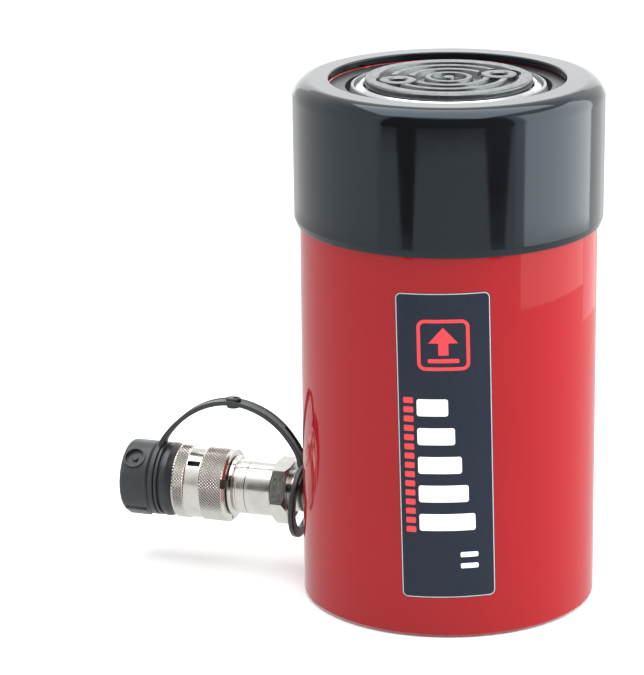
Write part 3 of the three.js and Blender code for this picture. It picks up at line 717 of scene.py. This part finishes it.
def label():
    sheet = rounded_rectangle(LABEL_WIDTH, LABEL_HEIGHT, 2.6)
    film = bent_film("label_sheet", [sheet], FILM_BOTTOM, FILM_TOP)
    show(film, "barrel", FILM, "label_film")

    ink_bottom = FILM_TOP - 0.01
    ink_top = FILM_TOP + 0.03
    border = bent_film("label_border", frame_outlines(LABEL_WIDTH - 0.3, LABEL_HEIGHT - 0.3, 2.4, 0.4),
                       ink_bottom, ink_top)
    show(border, "barrel", GREY_INK)

    # Five bold bars of growing length, read as a load scale.
    bars = []
    bar_height = 7.4
    for k in range(5):
        width = 23.5 - 2.6 * k
        middle_x = -11.7 + width / 2
        middle_y = -33.0 + k * (bar_height + 5.2)
        bars.append(rounded_rectangle(width, bar_height, 1.0, middle_x, middle_y, 4))
    for k in range(2):
        bars.append(rounded_rectangle(7.5, 2.2, 0.6, 9, -52.5 + 5 * k, 3))
    show(bent_film("label_bars", bars, ink_bottom, ink_top), "barrel", WHITE_INK)

    # A lifting pictogram: a framed arrow over a base line, and a column of short dashes beside the bars.
    sign_middle = 44.5
    neck = sign_middle + 0.8
    foot = sign_middle - 4.4
    head = [(-6.2, neck), (6.2, neck), (0, sign_middle + 7.6)]
    stem = [(-2.1, foot), (2.1, foot), (2.1, neck), (-2.1, neck)]
    red = [head, stem, rounded_rectangle(13, 1.8, 0.5, 0, sign_middle - 6.8, 3)]
    red += frame_outlines(22, 22, 3.4, 1.5, sign_middle)
    for k in range(15):
        tall = 2.6
        red.append(rounded_rectangle(4.2, tall, 0.5, -15.3, -36.2 + k * (tall + 1.45), 3))
    show(bent_film("label_marks", red, ink_bottom, ink_top), "barrel", RED_INK)


# ---- coupler ------------------------------------------------------------------------------

HEX_START = 7.9
HEX_END = 15.4
HEX_FLATS = 26
COUPLER_RADIUS = 12.25
COUPLER_SEAM = 27.4
CAP_HEAD_START = 72.9
CAP_HEAD_RADIUS = 16.5
EMBLEM_TURN = -42
HEX_TURN = 22
NOTCH_TURN = -71
PIN_TURN = -163
GRIP_TURN = -147


def coupler_rear_body():
    inside_hex = COUPLER_RADIUS - 0.35
    tail = revolve("coupler_tail", [
        (3, -12.5, 0.3), (8.3, -12.5, 0.8), (8.3, 0.6, 0.2), (9, 0.9, 0.2),
        (9, HEX_START + 0.3, 0.2), (inside_hex, HEX_START + 0.3, 0.1),
        (inside_hex, HEX_END + 0.12, 0), (COUPLER_RADIUS, HEX_END + 0.12, 0.15),
        (COUPLER_RADIUS, COUPLER_SEAM - 0.12, 0.2), (9.8, COUPLER_SEAM - 0.12, 0.2), (9.8, 14, 0.4),
        (3, 14, 0.3),
    ], True, MIDDLE, COUPLER_PLACE)
    show(tail, "barrel", NICKEL, "coupler_rear_body")
    return coupler_hex(inside_hex + 0.1)


def coupler_hex(bore):
    """The hexagon for a spanner, its corners chamfered on both faces."""
    corner = HEX_FLATS / math.sqrt(3)
    nut = prism("coupler_hex", circle_points(corner, 6), HEX_START, HEX_END,
                COUPLER_PLACE @ turned(HEX_TURN))
    chamfer = 1.3
    flat = HEX_FLATS / 2
    limit = revolve("hex_limit", [
        (0, HEX_START - 1, 0), (flat - 0.2 - 1.0, HEX_START - 1, 0),
        (corner + 1, HEX_START + chamfer + 0.7, 0), (corner + 1, HEX_END - chamfer - 0.7, 0),
        (flat - 0.2 - 1.0, HEX_END + 1, 0), (0, HEX_END + 1, 0),
    ], False, MIDDLE, COUPLER_PLACE)
    combine(nut, limit, "INTERSECT")
    core = prism("hex_core", circle_points(bore, 96), HEX_START - 3, HEX_END + 3, COUPLER_PLACE)
    cut(nut, core)
    return show(nut, "barrel", NICKEL)


def coupler_front_body():
    front = revolve("coupler_nose", [
        (8, 20, 0.2), (9.5, 20, 0.3), (9.5, COUPLER_SEAM, 0.1), (COUPLER_RADIUS, COUPLER_SEAM, 0.2),
        (COUPLER_RADIUS, 31.6, 0.3), (COUPLER_RADIUS - 0.7, 31.9, 0.2),
        (COUPLER_RADIUS - 0.7, 32.7, 0.2), (COUPLER_RADIUS + 0.9, 33.3, 0.3),
        (COUPLER_RADIUS + 1.2, COLLAR_START - 0.4, 0.4), (10.8, COLLAR_START - 0.4, 0.2),
        (10.8, 40.6, 0.1), (9.7, 40.6, 0.1), (9.7, 42.3, 0.1), (10.8, 42.3, 0.1), (10.8, 55, 0.3),
        (10, 56, 0.3), (6.2, 56, 0.3), (6.2, 50, 0.2), (8, 47, 0.3),
    ], True, MIDDLE, COUPLER_PLACE)
    return show(front, "barrel", NICKEL, "coupler_front_body")


def poppet():
    valve = revolve("poppet_valve", [
        (0, 30, 0), (3.5, 30, 0.5), (3.5, 43.9, 0.3), (7.3, 43.9, 0.4), (7.3, 46.2, 0.4),
        (5.5, 50, 0.5), (5.5, 55.6, 0.8), (0, 55.6, 0),
    ], False, COARSE, COUPLER_PLACE)
    return show(valve, "poppet", STEEL, "poppet")


KNURLS = 72
KNURL_DEPTH = 0.4
KNURL_STEPS = 6
BAND_START = 47.8
BAND_END = 54.7


def triangle_wave(value):
    return abs((value % 1.0) * 2 - 1)


def knurled_rows(start, end, radius):
    """Rings of points whose radius rises in crossed diamonds."""
    pitch = 2 * math.pi * radius / KNURLS
    count = round((end - start) / pitch * KNURL_STEPS)
    rows = []
    around = KNURLS * KNURL_STEPS
    for row in range(count + 1):
        z = start + (end - start) * row / count
        ends = min(1.0, min(z - start, end - z) / 0.5)
        ring = []
        for k in range(around):
            share = k / KNURL_STEPS
            climb = row / KNURL_STEPS
            peak = min(triangle_wave(share + climb), triangle_wave(share - climb))
            ring.append((radius - KNURL_DEPTH * (1 - peak) ** 2 * ends, z))
        rows.append(ring)
    return rows


def plain_rows(corners, around):
    return [[(r, z)] * around for r, z in outline(corners, False)]


def radial_cut(name, angle, width, start, end):
    """A block that cuts through the collar's wall at that angle in degrees."""
    inner, outer = 12.9, UNION_RADIUS + 2
    half = width / 2
    outline_points = [(inner, -half), (outer, -half), (outer, half), (inner, half)]
    return prism(name, outline_points, start, end, COUPLER_PLACE @ turned(angle))


def paint_knurl_groove_shade(collar):
    """Gives the bottoms of the knurl's grooves a darker, rougher nickel: painted shade in the grooves."""
    collar.data.materials.append(GROOVE_SHADE_NICKEL.material)
    back = COUPLER_PLACE.inverted()
    deepest = UNION_RADIUS - KNURL_DEPTH - 0.02
    for face in collar.data.polygons:
        spot = back @ (face.center / MM)
        in_band = BAND_START - 0.4 < spot.z < BAND_END + 0.4
        in_knurl = COLLAR_START + 1.3 < spot.z < COLLAR_END - 1.2 and not in_band
        # Faces near the groove bottoms get the painted groove shade.
        if in_knurl and deepest < spot.xy.length < UNION_RADIUS - 0.66 * KNURL_DEPTH:
            face.material_index = 1
    return collar


def union_collar():
    around = KNURLS * KNURL_STEPS
    bore = 14
    band = UNION_RADIUS - 0.55
    rows = plain_rows([
        (bore, COLLAR_END - 0.4, 0), (bore + 0.5, COLLAR_END, 0.2),
        (UNION_RADIUS - 1, COLLAR_END, 0.3), (UNION_RADIUS, COLLAR_END - 1.0, 0),
    ], around)
    rows += list(reversed(knurled_rows(BAND_END + 0.2, COLLAR_END - 1.0, UNION_RADIUS)))
    rows += plain_rows([
        (UNION_RADIUS, BAND_END + 0.2, 0), (band, BAND_END - 0.1, 0.2),
        (band, BAND_START + 0.1, 0.2), (UNION_RADIUS, BAND_START - 0.2, 0),
    ], around)
    rows += list(reversed(knurled_rows(COLLAR_START + 1.0, BAND_START - 0.2, UNION_RADIUS)))
    rows += plain_rows([
        (UNION_RADIUS, COLLAR_START + 1.0, 0), (UNION_RADIUS - 0.9, COLLAR_START, 0.25),
        (11.2, COLLAR_START, 0.3), (11.2, 40.2, 0.2), (bore, 40.2, 0.4),
    ], around)
    vertices = []
    for ring in rows:
        for k, (r, z) in enumerate(ring):
            vertices.append((*polar(r, 2 * math.pi * k / around), z))
    faces = grid_faces(len(rows), around, True)
    collar = make_object("knurled_collar", vertices, faces, COUPLER_PLACE)

    slot = radial_cut("slot_tool", EMBLEM_TURN, 2.7, BAND_START + 0.5, BAND_END - 0.5)
    cut(collar, slot)
    notch = radial_cut("notch_tool", NOTCH_TURN, 4.2, COLLAR_START - 1, COLLAR_START + 1.7)
    cut(collar, notch)
    pin_tool = prism("pin_tool", circle_points(0.75, 24, 14.4), COLLAR_START - 1, COLLAR_START + 2.5,
                     COUPLER_PLACE @ turned(PIN_TURN))
    cut(collar, pin_tool)
    show(collar, "union_collar", NICKEL, "union_collar")
    # The bottoms of the knurl's grooves get painted shade.
    return paint_knurl_groove_shade(collar)


def emblem(cap):
    """A plain round mark on the cap: a raised rim round a well with a small stud in it."""
    middle = (CAP_HEAD_START + CAP_END) / 2 + 0.1
    place = COUPLER_PLACE @ turned(EMBLEM_TURN) @ Matrix.Translation((0, 0, middle)) @ turned(90, "Y")
    rim_top = CAP_HEAD_RADIUS + 0.45
    well_floor = CAP_HEAD_RADIUS - 1.5
    rim = [(0, 12, 0), (5.1, 12, 0), (5.1, rim_top, 0.3), (0, rim_top, 0)]
    join(cap, revolve("emblem_rim", rim, False, 64, place))
    well = [(0, well_floor, 0), (4.1, well_floor, 0.2), (4.3, rim_top + 1, 0), (0, rim_top + 1, 0)]
    cut(cap, revolve("emblem_well", well, False, 64, place))
    stud_top = CAP_HEAD_RADIUS - 0.5
    stud = [(0, 12.4, 0), (1.3, 12.4, 0), (1.3, stud_top, 0.3), (0, stud_top, 0)]
    join(cap, revolve("emblem_stud", stud, False, 48, place))


def dust_cap():
    plug = 13.6
    flange = COLLAR_END + 0.3
    cap = revolve("cap_moulding", [
        (0, 58.3, 0), (11.2, 58.3, 0.4), (11.2, 46.5, 0.2), (plug, 46.5, 0.5), (plug, flange, 0.2),
        (14.6, flange, 0.3), (UNION_RADIUS - 0.2, flange + 2.2, 0.5),
        (UNION_RADIUS, flange + 4.4, 0.5), (UNION_RADIUS - 1.6, flange + 4.9, 0.4),
        (UNION_RADIUS - 1.6, flange + 5.6, 0.3), (UNION_RADIUS - 0.3, flange + 6.0, 0.3),
        (UNION_RADIUS - 0.3, flange + 7.4, 0.4), (12.6, flange + 7.4, 0.3),
        (12.6, CAP_HEAD_START - 0.9, 0.3), (CAP_HEAD_RADIUS - 0.7, CAP_HEAD_START - 0.9, 0.3),
        (CAP_HEAD_RADIUS, CAP_HEAD_START, 0.4), (CAP_HEAD_RADIUS, CAP_END, 2.2),
        (CAP_HEAD_RADIUS - 4.5, CAP_END, 0.6), (CAP_HEAD_RADIUS - 5.2, CAP_END - 0.7, 0.5),
        (0, CAP_END - 0.7, 0),
    ], False, MIDDLE, COUPLER_PLACE)
    pad_top = CAP_HEAD_RADIUS + 0.2
    pad_outline = [(pad_top - 4, -4.8), (pad_top, -4.4), (pad_top, 4.4), (pad_top - 4, 4.8)]
    pad = prism("cap_grip_pad", pad_outline, CAP_HEAD_START + 0.9, CAP_END - 1.6,
                COUPLER_PLACE @ turned(GRIP_TURN))
    bevelled(pad, 0.4)
    join(cap, pad)
    emblem(cap)
    return show(cap, "dust_cap", PLASTIC, "dust_cap")


# ---- strap --------------------------------------------------------------------------------

STRAP_WIDTH = 6.6
STRAP_THICKNESS = 2.1
# The band's route in the coupler's frame, as (height above the axis, distance out).
STRAP_ROUTE = (
    (12.2, 4.0), (17.0, 4.9), (22.5, 7.9), (29.0, 13.2), (34.5, 20.5), (38.0, 29.5), (38.8, 38.5),
    (36.8, 47.5), (32.4, 55.8), (26.2, 63.0), (19.8, 68.2), (14.8, 70.5),
)
# The web in the corner between the band and the cap's eyelet, as (height, -distance out).
STRAP_WEB = ((26.3, -62.6), (18.6, -68.4), (17.6, -63.9))


def catmull_rom(points, steps):
    """A smooth curve through the points."""
    points = [np.array(point, float) for point in points]
    points = [2 * points[0] - points[1]] + points + [2 * points[-1] - points[-2]]
    curve = []
    for k in range(1, len(points) - 2):
        a, b, c, d = points[k - 1:k + 3]
        for step in range(steps):
            t = step / steps
            curve.append(0.5 * (2 * b + (c - a) * t + (2 * a - 5 * b + 4 * c - d) * t * t
                                + (3 * b - a - 3 * c + d) * t ** 3))
    curve.append(points[-2])
    return curve


def strap_section():
    """Section of the band, as (across, out): a flat band with a slightly raised edge on its outside."""
    half = STRAP_WIDTH / 2
    deep = STRAP_THICKNESS / 2
    corners = [
        (-half, -deep, 0.35), (half, -deep, 0.35), (half, deep, 0.3), (half - 0.9, deep, 0.2),
        (half - 1.3, deep - 0.3, 0.2), (-half + 1.3, deep - 0.3, 0.2), (-half + 0.9, deep, 0.2),
        (-half, deep, 0.3),
    ]
    return outline(corners, True)


def sweep(name, curve, section, place):
    """A solid with a constant section along a curve in the plane y = 0."""
    vertices = []
    count = len(section)
    for k, point in enumerate(curve):
        before = curve[max(0, k - 1)]
        after = curve[min(len(curve) - 1, k + 1)]
        tangent = (after - before) / np.linalg.norm(after - before)
        out = np.array((tangent[1], -tangent[0]))
        for across, lift in section:
            vertices.append((point[0] + out[0] * lift, across, point[1] + out[1] * lift))
    faces = end_caps(len(curve), count) + grid_faces(len(curve), count, False)
    return make_object(name, vertices, faces, place)


def cap_strap():
    curve = catmull_rom(STRAP_ROUTE, 10)
    band = sweep("cap_lanyard", curve, strap_section(), COUPLER_PLACE)
    lean = Matrix.Translation((-3.3, 0, 3.9)) @ turned(4, "Y")
    neck_eyelet = revolve("neck_eyelet", [
        (12.6, -1.2, 0.7), (17.4, -1.2, 0.7), (17.4, 1.2, 0.7), (12.6, 1.2, 0.7),
    ], True, COARSE, COUPLER_PLACE @ lean)
    cap_eyelet = revolve("cap_eyelet", [
        (12.9, 69.4, 0.4), (16.5, 69.4, 0.4), (16.5, 71.8, 0.5), (12.9, 71.8, 0.4),
    ], True, COARSE, COUPLER_PLACE)
    for other in (neck_eyelet, cap_eyelet):
        join(band, other)
    slot = sweep("strap_slot", curve[12:30], [(0.2, 0.3), (2.3, 0.3), (2.3, 3), (0.2, 3)], COUPLER_PLACE)
    cut(band, slot)
    strap_button(band, curve[57])
    stretched(show(band, None, PLASTIC, "cap_strap"))

    root = prism("strap_web", STRAP_WEB, 1.4, 3.0, COUPLER_PLACE @ turned(90, "X"))
    bevelled(root, 0.3)
    stretched(show(root, None, POLYMER))


def stretched(piece):
    """Bakes the piece's placement into its mesh."""
    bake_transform(piece)


def strap_button(band, spot):
    """An oval button that stands on the band, with a hole in it and its foot below the band."""
    deep = STRAP_THICKNESS / 2
    place = COUPLER_PLACE @ Matrix.Translation((spot[0], 0, spot[1])) @ turned(90, "Y")
    head = bevelled(prism("button_head", oval(7.0, 5.0, 40), deep - 0.6, deep + 1.0, place), 0.35)
    foot = bevelled(prism("button_foot", oval(6.0, 6.2, 40), -deep - 1.3, -deep + 0.4, place), 0.4)
    join(band, head)
    join(band, foot)
    cut(band, prism("button_hole", oval(2.8, 2.2, 40, 1.2), deep - 0.4, deep + 3, place))


# ---- inner pieces -------------------------------------------------------------------------

def piston_head():
    bore = 36.2
    bottom, top = (corner.z for corner in box_mm("piston_head"))
    radius = box_mm("piston_head")[1].x
    head = revolve("piston_head_turned", [
        (bore, bottom, 0.4), (44, bottom, 0.8), (44, 42, 0.6), (radius, 42, 0.5), (radius, 46, 0.2),
        (41.5, 46, 0.3), (41.5, 58.4, 0.3), (radius, 58.4, 0.2), (radius, 61, 0.2), (44.9, 61, 0.2),
        (44.9, 70, 0.2), (radius, 70, 0.2), (radius, top - 1.5, 0.4), (radius - 1.5, top, 0.4),
        (bore, top, 0.4), (bore, 54, 0.2), (38.9, 54, 0.3), (38.9, 50, 0.3), (bore, 50, 0.2),
    ])
    return show(head, "plunger", STEEL, "piston_head")


def piston_seal():
    low, high = box_mm("piston_seal")
    cup = revolve("piston_u_cup", [
        (41.8, low.z, 0.3), (43.0, low.z, 0.4), (44.1, low.z + 4, 0.5), (45.0, low.z + 4, 0.5),
        (46.1, low.z, 0.4), (high.x, low.z, 0.3), (high.x, high.z, 0.5), (41.8, high.z, 0.5),
    ])
    return show(cup, "plunger", RUBBER, "piston_seal")


def round_ring(name, node, body, radius, half_width, half_height, place=None, axis_height=None):
    """An O-ring of oval section."""
    sides = 24
    section = [
        (radius + half_width * math.cos(2 * math.pi * k / sides),
         axis_height + half_height * math.sin(2 * math.pi * k / sides), 0)
        for k in range(sides)
    ]
    return show(revolve(name, section, True, COARSE, place), body, RUBBER, node)


def split_ring(name, node, body, inner, outer, bottom, top, gap, place=None):
    """A snap ring with an open gap."""
    steps = 96
    start = gap / 2
    angles = [start + (2 * math.pi - gap) * k / steps for k in range(steps + 1)]
    points = [polar(outer, angle) for angle in angles]
    points += [polar(inner, angle) for angle in reversed(angles)]
    ring = prism(name, points, bottom, top, place)
    bevelled(ring, 0.15, 2)
    return show(ring, body, SPRING, node)


def wire_coil(name, radius, wire, bottom, top, turns, place=None):
    """A round-wire coil of even pitch."""
    per_turn = 48
    sides = 16
    steps = turns * per_turn
    vertices = []
    for step in range(steps + 1):
        turn = step / per_turn
        angle = 2 * math.pi * turn
        z = bottom + (top - bottom) * step / steps
        for side in range(sides):
            round_angle = 2 * math.pi * side / sides
            reach = radius + wire * math.cos(round_angle)
            vertices.append((*polar(reach, angle), z + wire * math.sin(round_angle)))
    faces = end_caps(steps + 1, sides) + grid_faces(steps + 1, sides, False)
    return make_object(name, vertices, faces, place)


def return_spring():
    low, high = box_mm("return_spring")
    wire = 3.2
    spring = wire_coil("tension_spring", 19.5, wire, low.z + wire, high.z - wire, 17)
    show(spring, None, SPRING, "return_spring")
    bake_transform(spring)


def poppet_spring():
    spring = wire_coil("check_spring", 5.6, 0.7, 15.5, 42.8, 8, COUPLER_PLACE)
    stretched(show(spring, None, SPRING, "poppet_spring"))


def spring_anchors():
    low, high = box_mm("base_spring_anchor")
    lower = revolve("lower_spool", [
        (0, low.z, 0), (8.6, low.z, 0.6), (8.6, 26.3, 0.2), (22, 26.3, 0.5), (22, 30, 0.5),
        (14.6, 30, 0.5), (14.6, high.z, 1.0), (0, high.z, 0),
    ], False)
    show(lower, "barrel", STEEL, "base_spring_anchor")
    low, high = box_mm("plunger_spring_anchor")
    upper = revolve("upper_spool", [
        (5.9, low.z, 0.5), (14.6, low.z, 1.0), (14.6, 186, 0.5), (24, 186, 0.5), (24, high.z, 0.5),
        (5.9, high.z, 0.5),
    ])
    show(upper, "plunger", STEEL, "plunger_spring_anchor")
    low, high = box_mm("anchor_bolt")
    bolt = revolve("anchor_cap_screw", [
        (0, low.z, 0), (5.6, low.z, 0.8), (5.6, 206.3, 0.3), (9, 206.3, 0.3), (9, high.z, 0.8),
        (0, high.z, 0),
    ], False)
    cut(bolt, prism("bolt_socket", circle_points(4.6, 6), 208.3, high.z + 1))
    show(bolt, "plunger", OXIDE, "anchor_bolt")


# ---- studio -------------------------------------------------------------------------------

CAMERA_PLACE = Vector((388.4, -1333.6, 529.0)) * MM
CAMERA_AZIMUTH = math.radians(18.49)
CAMERA_PITCH = math.radians(16.64)
CAMERA_ROLL = 0.0105
CAMERA_LENS = 179.0
LIT_POINT = Vector((0, 0, 0.11))
SOFTBOX_SIZE = 1.4
SOFTBOX_RADIANCE = 3.2


def camera():
    lens = bpy.data.cameras.new("camera")
    lens.lens = CAMERA_LENS
    lens.clip_end = 50
    eye = new_object("camera", lens)
    level = math.cos(CAMERA_PITCH)
    level_ahead = Vector((-math.sin(CAMERA_AZIMUTH), math.cos(CAMERA_AZIMUTH), 0))
    ahead = level_ahead * level - Vector((0, 0, math.sin(CAMERA_PITCH)))
    side = ahead.cross(Vector((0, 0, 1))).normalized()
    up = side.cross(ahead)
    up = up * math.cos(CAMERA_ROLL) + side * math.sin(CAMERA_ROLL)
    side = ahead.cross(up)
    eye.matrix_world = Matrix((
        (side.x, up.x, -ahead.x, CAMERA_PLACE.x), (side.y, up.y, -ahead.y, CAMERA_PLACE.y),
        (side.z, up.z, -ahead.z, CAMERA_PLACE.z), (0, 0, 0, 1),
    ))
    bpy.context.scene.camera = eye


def direction(azimuth):
    """Level direction from the object at that many degrees to the right of the camera."""
    angle = CAMERA_AZIMUTH + math.radians(azimuth) - math.pi / 2
    return Vector((math.cos(angle), math.sin(angle), 0))


def card(name, azimuths, heights, distance, strength, diffuse=False):
    """A curved card round the object, seen in reflections only, or lighting it too."""
    columns = 24
    first, last = azimuths
    vertices = []
    for k in range(columns + 1):
        for side in (0, 1):
            azimuth = first[side] + (last[side] - first[side]) * k / columns
            spot = direction(azimuth) * distance / MM
            vertices.append((spot.x, spot.y, heights[side]))
    faces = [(2 * k, 2 * k + 2, 2 * k + 3, 2 * k + 1) for k in range(columns)]
    made = make_object(name, vertices, faces)
    made.data.materials.append(glow(name, strength))
    reflected_only(made, diffuse)
    return made


def glow(name, strength):
    """A surface that shines evenly, or is plain black at no strength."""
    material = bpy.data.materials.new(name)
    material.use_nodes = True
    tree = material.node_tree
    tree.nodes.clear()
    shine = tree.nodes.new("ShaderNodeEmission")
    shine.inputs["Strength"].default_value = strength
    result = tree.nodes.new("ShaderNodeOutputMaterial")
    tree.links.new(shine.outputs[0], result.inputs["Surface"])
    return material


def reflected_only(item, diffuse=False):
    item.visible_camera = False
    item.visible_shadow = False
    item.visible_transmission = False
    item.visible_volume_scatter = False
    item.visible_diffuse = diffuse


def area_light(name, size, energy, place, in_reflections):
    """A square lamp that faces the object, whether or not reflections show it."""
    light = bpy.data.lights.new(name, "AREA")
    light.size = size
    light.energy = energy
    lamp = new_object(name, light)
    lamp.location = place
    lamp.rotation_euler = (LIT_POINT - place).to_track_quat("-Z", "Y").to_euler()
    lamp.visible_camera = False
    lamp.visible_glossy = in_reflections


def studio():
    world = bpy.data.worlds.new("studio")
    world.use_nodes = True
    world.node_tree.nodes["Background"].inputs["Color"].default_value = (1, 1, 1, 1)
    world.node_tree.nodes["Background"].inputs["Strength"].default_value = 1.0
    bpy.context.scene.world = world
    bpy.context.scene.view_settings.view_transform = "Standard"

    reach = 12000
    floor = make_object("floor", [(-reach, -reach, -0.3), (reach, -reach, -0.3), (reach, reach, -0.3),
                                  (-reach, reach, -0.3)], [(0, 1, 2, 3)])
    floor.data.materials.append(FLOOR.material)
    softbox_power = SOFTBOX_RADIANCE * math.pi * SOFTBOX_SIZE ** 2
    area_light("top_softbox", SOFTBOX_SIZE, softbox_power, Vector((0, 0, 1.25)), True)

    # A dark stand in front: a wide board on two legs that narrow towards the floor.
    card("front_board", ((-50, -50), (43.5, 43.5)), (80, 900), 0.65, 0)
    card("left_leg", ((-35, -39), (-27.5, -24)), (4, 80), 0.65, 0)
    card("right_leg", ((27.5, 22.5), (37, 42)), (4, 80), 0.65, 0)
    # A large softbox to the right, a strip behind it, and pale walls at the left and the back.
    card("softbox_edge", ((44, 44), (51, 51)), (62, 560), 0.45, 1.3)
    card("softbox_skirt", ((51, 51), (118, 118)), (28, 62), 0.45, 1.9, True)
    card("right_softbox", ((51, 51), (118, 118)), (62, 560), 0.45, 4.0, True)
    card("rear_strip", ((119, 119), (150, 150)), (0, 560), 0.47, 1.4)
    card("left_wall", ((-150, -150), (-52, -52)), (62, 560), 0.45, 1.2)
    card("back_wall", ((151, 151), (209, 209)), (0, 900), 1.6, 2.0)
    for name, azimuth, energy in (("right_fill", 75, 5.6), ("left_fill", -72, 2.0)):
        area_light(name, 0.5, energy, direction(azimuth) * 0.9 + Vector((0, 0, 0.25)), False)
    rug_points = [(x, y, 0.05) for x, y in circle_points(2500, 48)]
    rug = make_object("floor_reflection", rug_points, [tuple(range(48))])
    rug.data.materials.append(glow("floor_reflection", 0.95))
    reflected_only(rug)


# ---- assembly -----------------------------------------------------------------------------

camera()
studio()
cylinder_body()
stop_ring()
wiper_ring()
ring_in_box("bearing_bush", "guide_bearing", "barrel", BRONZE, PLUNGER_RADIUS + 0.3, 0.4)
label()
plunger()
piston_head()
piston_seal()
ring_in_box("backup_washer", "piston_backup_ring", "plunger", POLYMER, 41.8, 0.3)
ring_in_box("wear_band", "piston_wear_ring", "plunger", BRONZE, 45.2, 0.3)
round_ring("head_o_ring", "piston_o_ring", "plunger", 37.5, 1.2, 1.6, None, 52)
split_ring("head_snap_ring", "piston_snap_ring", "plunger", 34.2, 38.5, 30.9, 32.6, 0.35)
ring_in_box("bonded_washer", "anchor_seal_washer", "plunger", SPRING, 6.5, 0.2)
spring_anchors()
return_spring()
saddle()
round_ring("stem_o_ring", "saddle_retaining_ring", "saddle", 18.75, 0.9, 1.35, None, 209.75)
thread_protector()
coupler_rear_body()
coupler_front_body()
round_ring("joint_o_ring", "coupler_o_ring", "barrel", 8.7, 0.85, 1.2, COUPLER_PLACE, 17.5)
poppet()
poppet_spring()
split_ring("collar_clip", "collar_snap_ring", "barrel", 10, 13.4, 40.9, 42, 0.5, COUPLER_PLACE)
union_collar()
dust_cap()
ring = revolve("cap_washer", [(7.2, 56.4, 0.3), (10.8, 56.4, 0.3), (10.8, 58, 0.3), (7.2, 58, 0.3)], True,
               COARSE, COUPLER_PLACE)
show(ring, "dust_cap", RUBBER, "dust_cap_seal")
cap_strap()
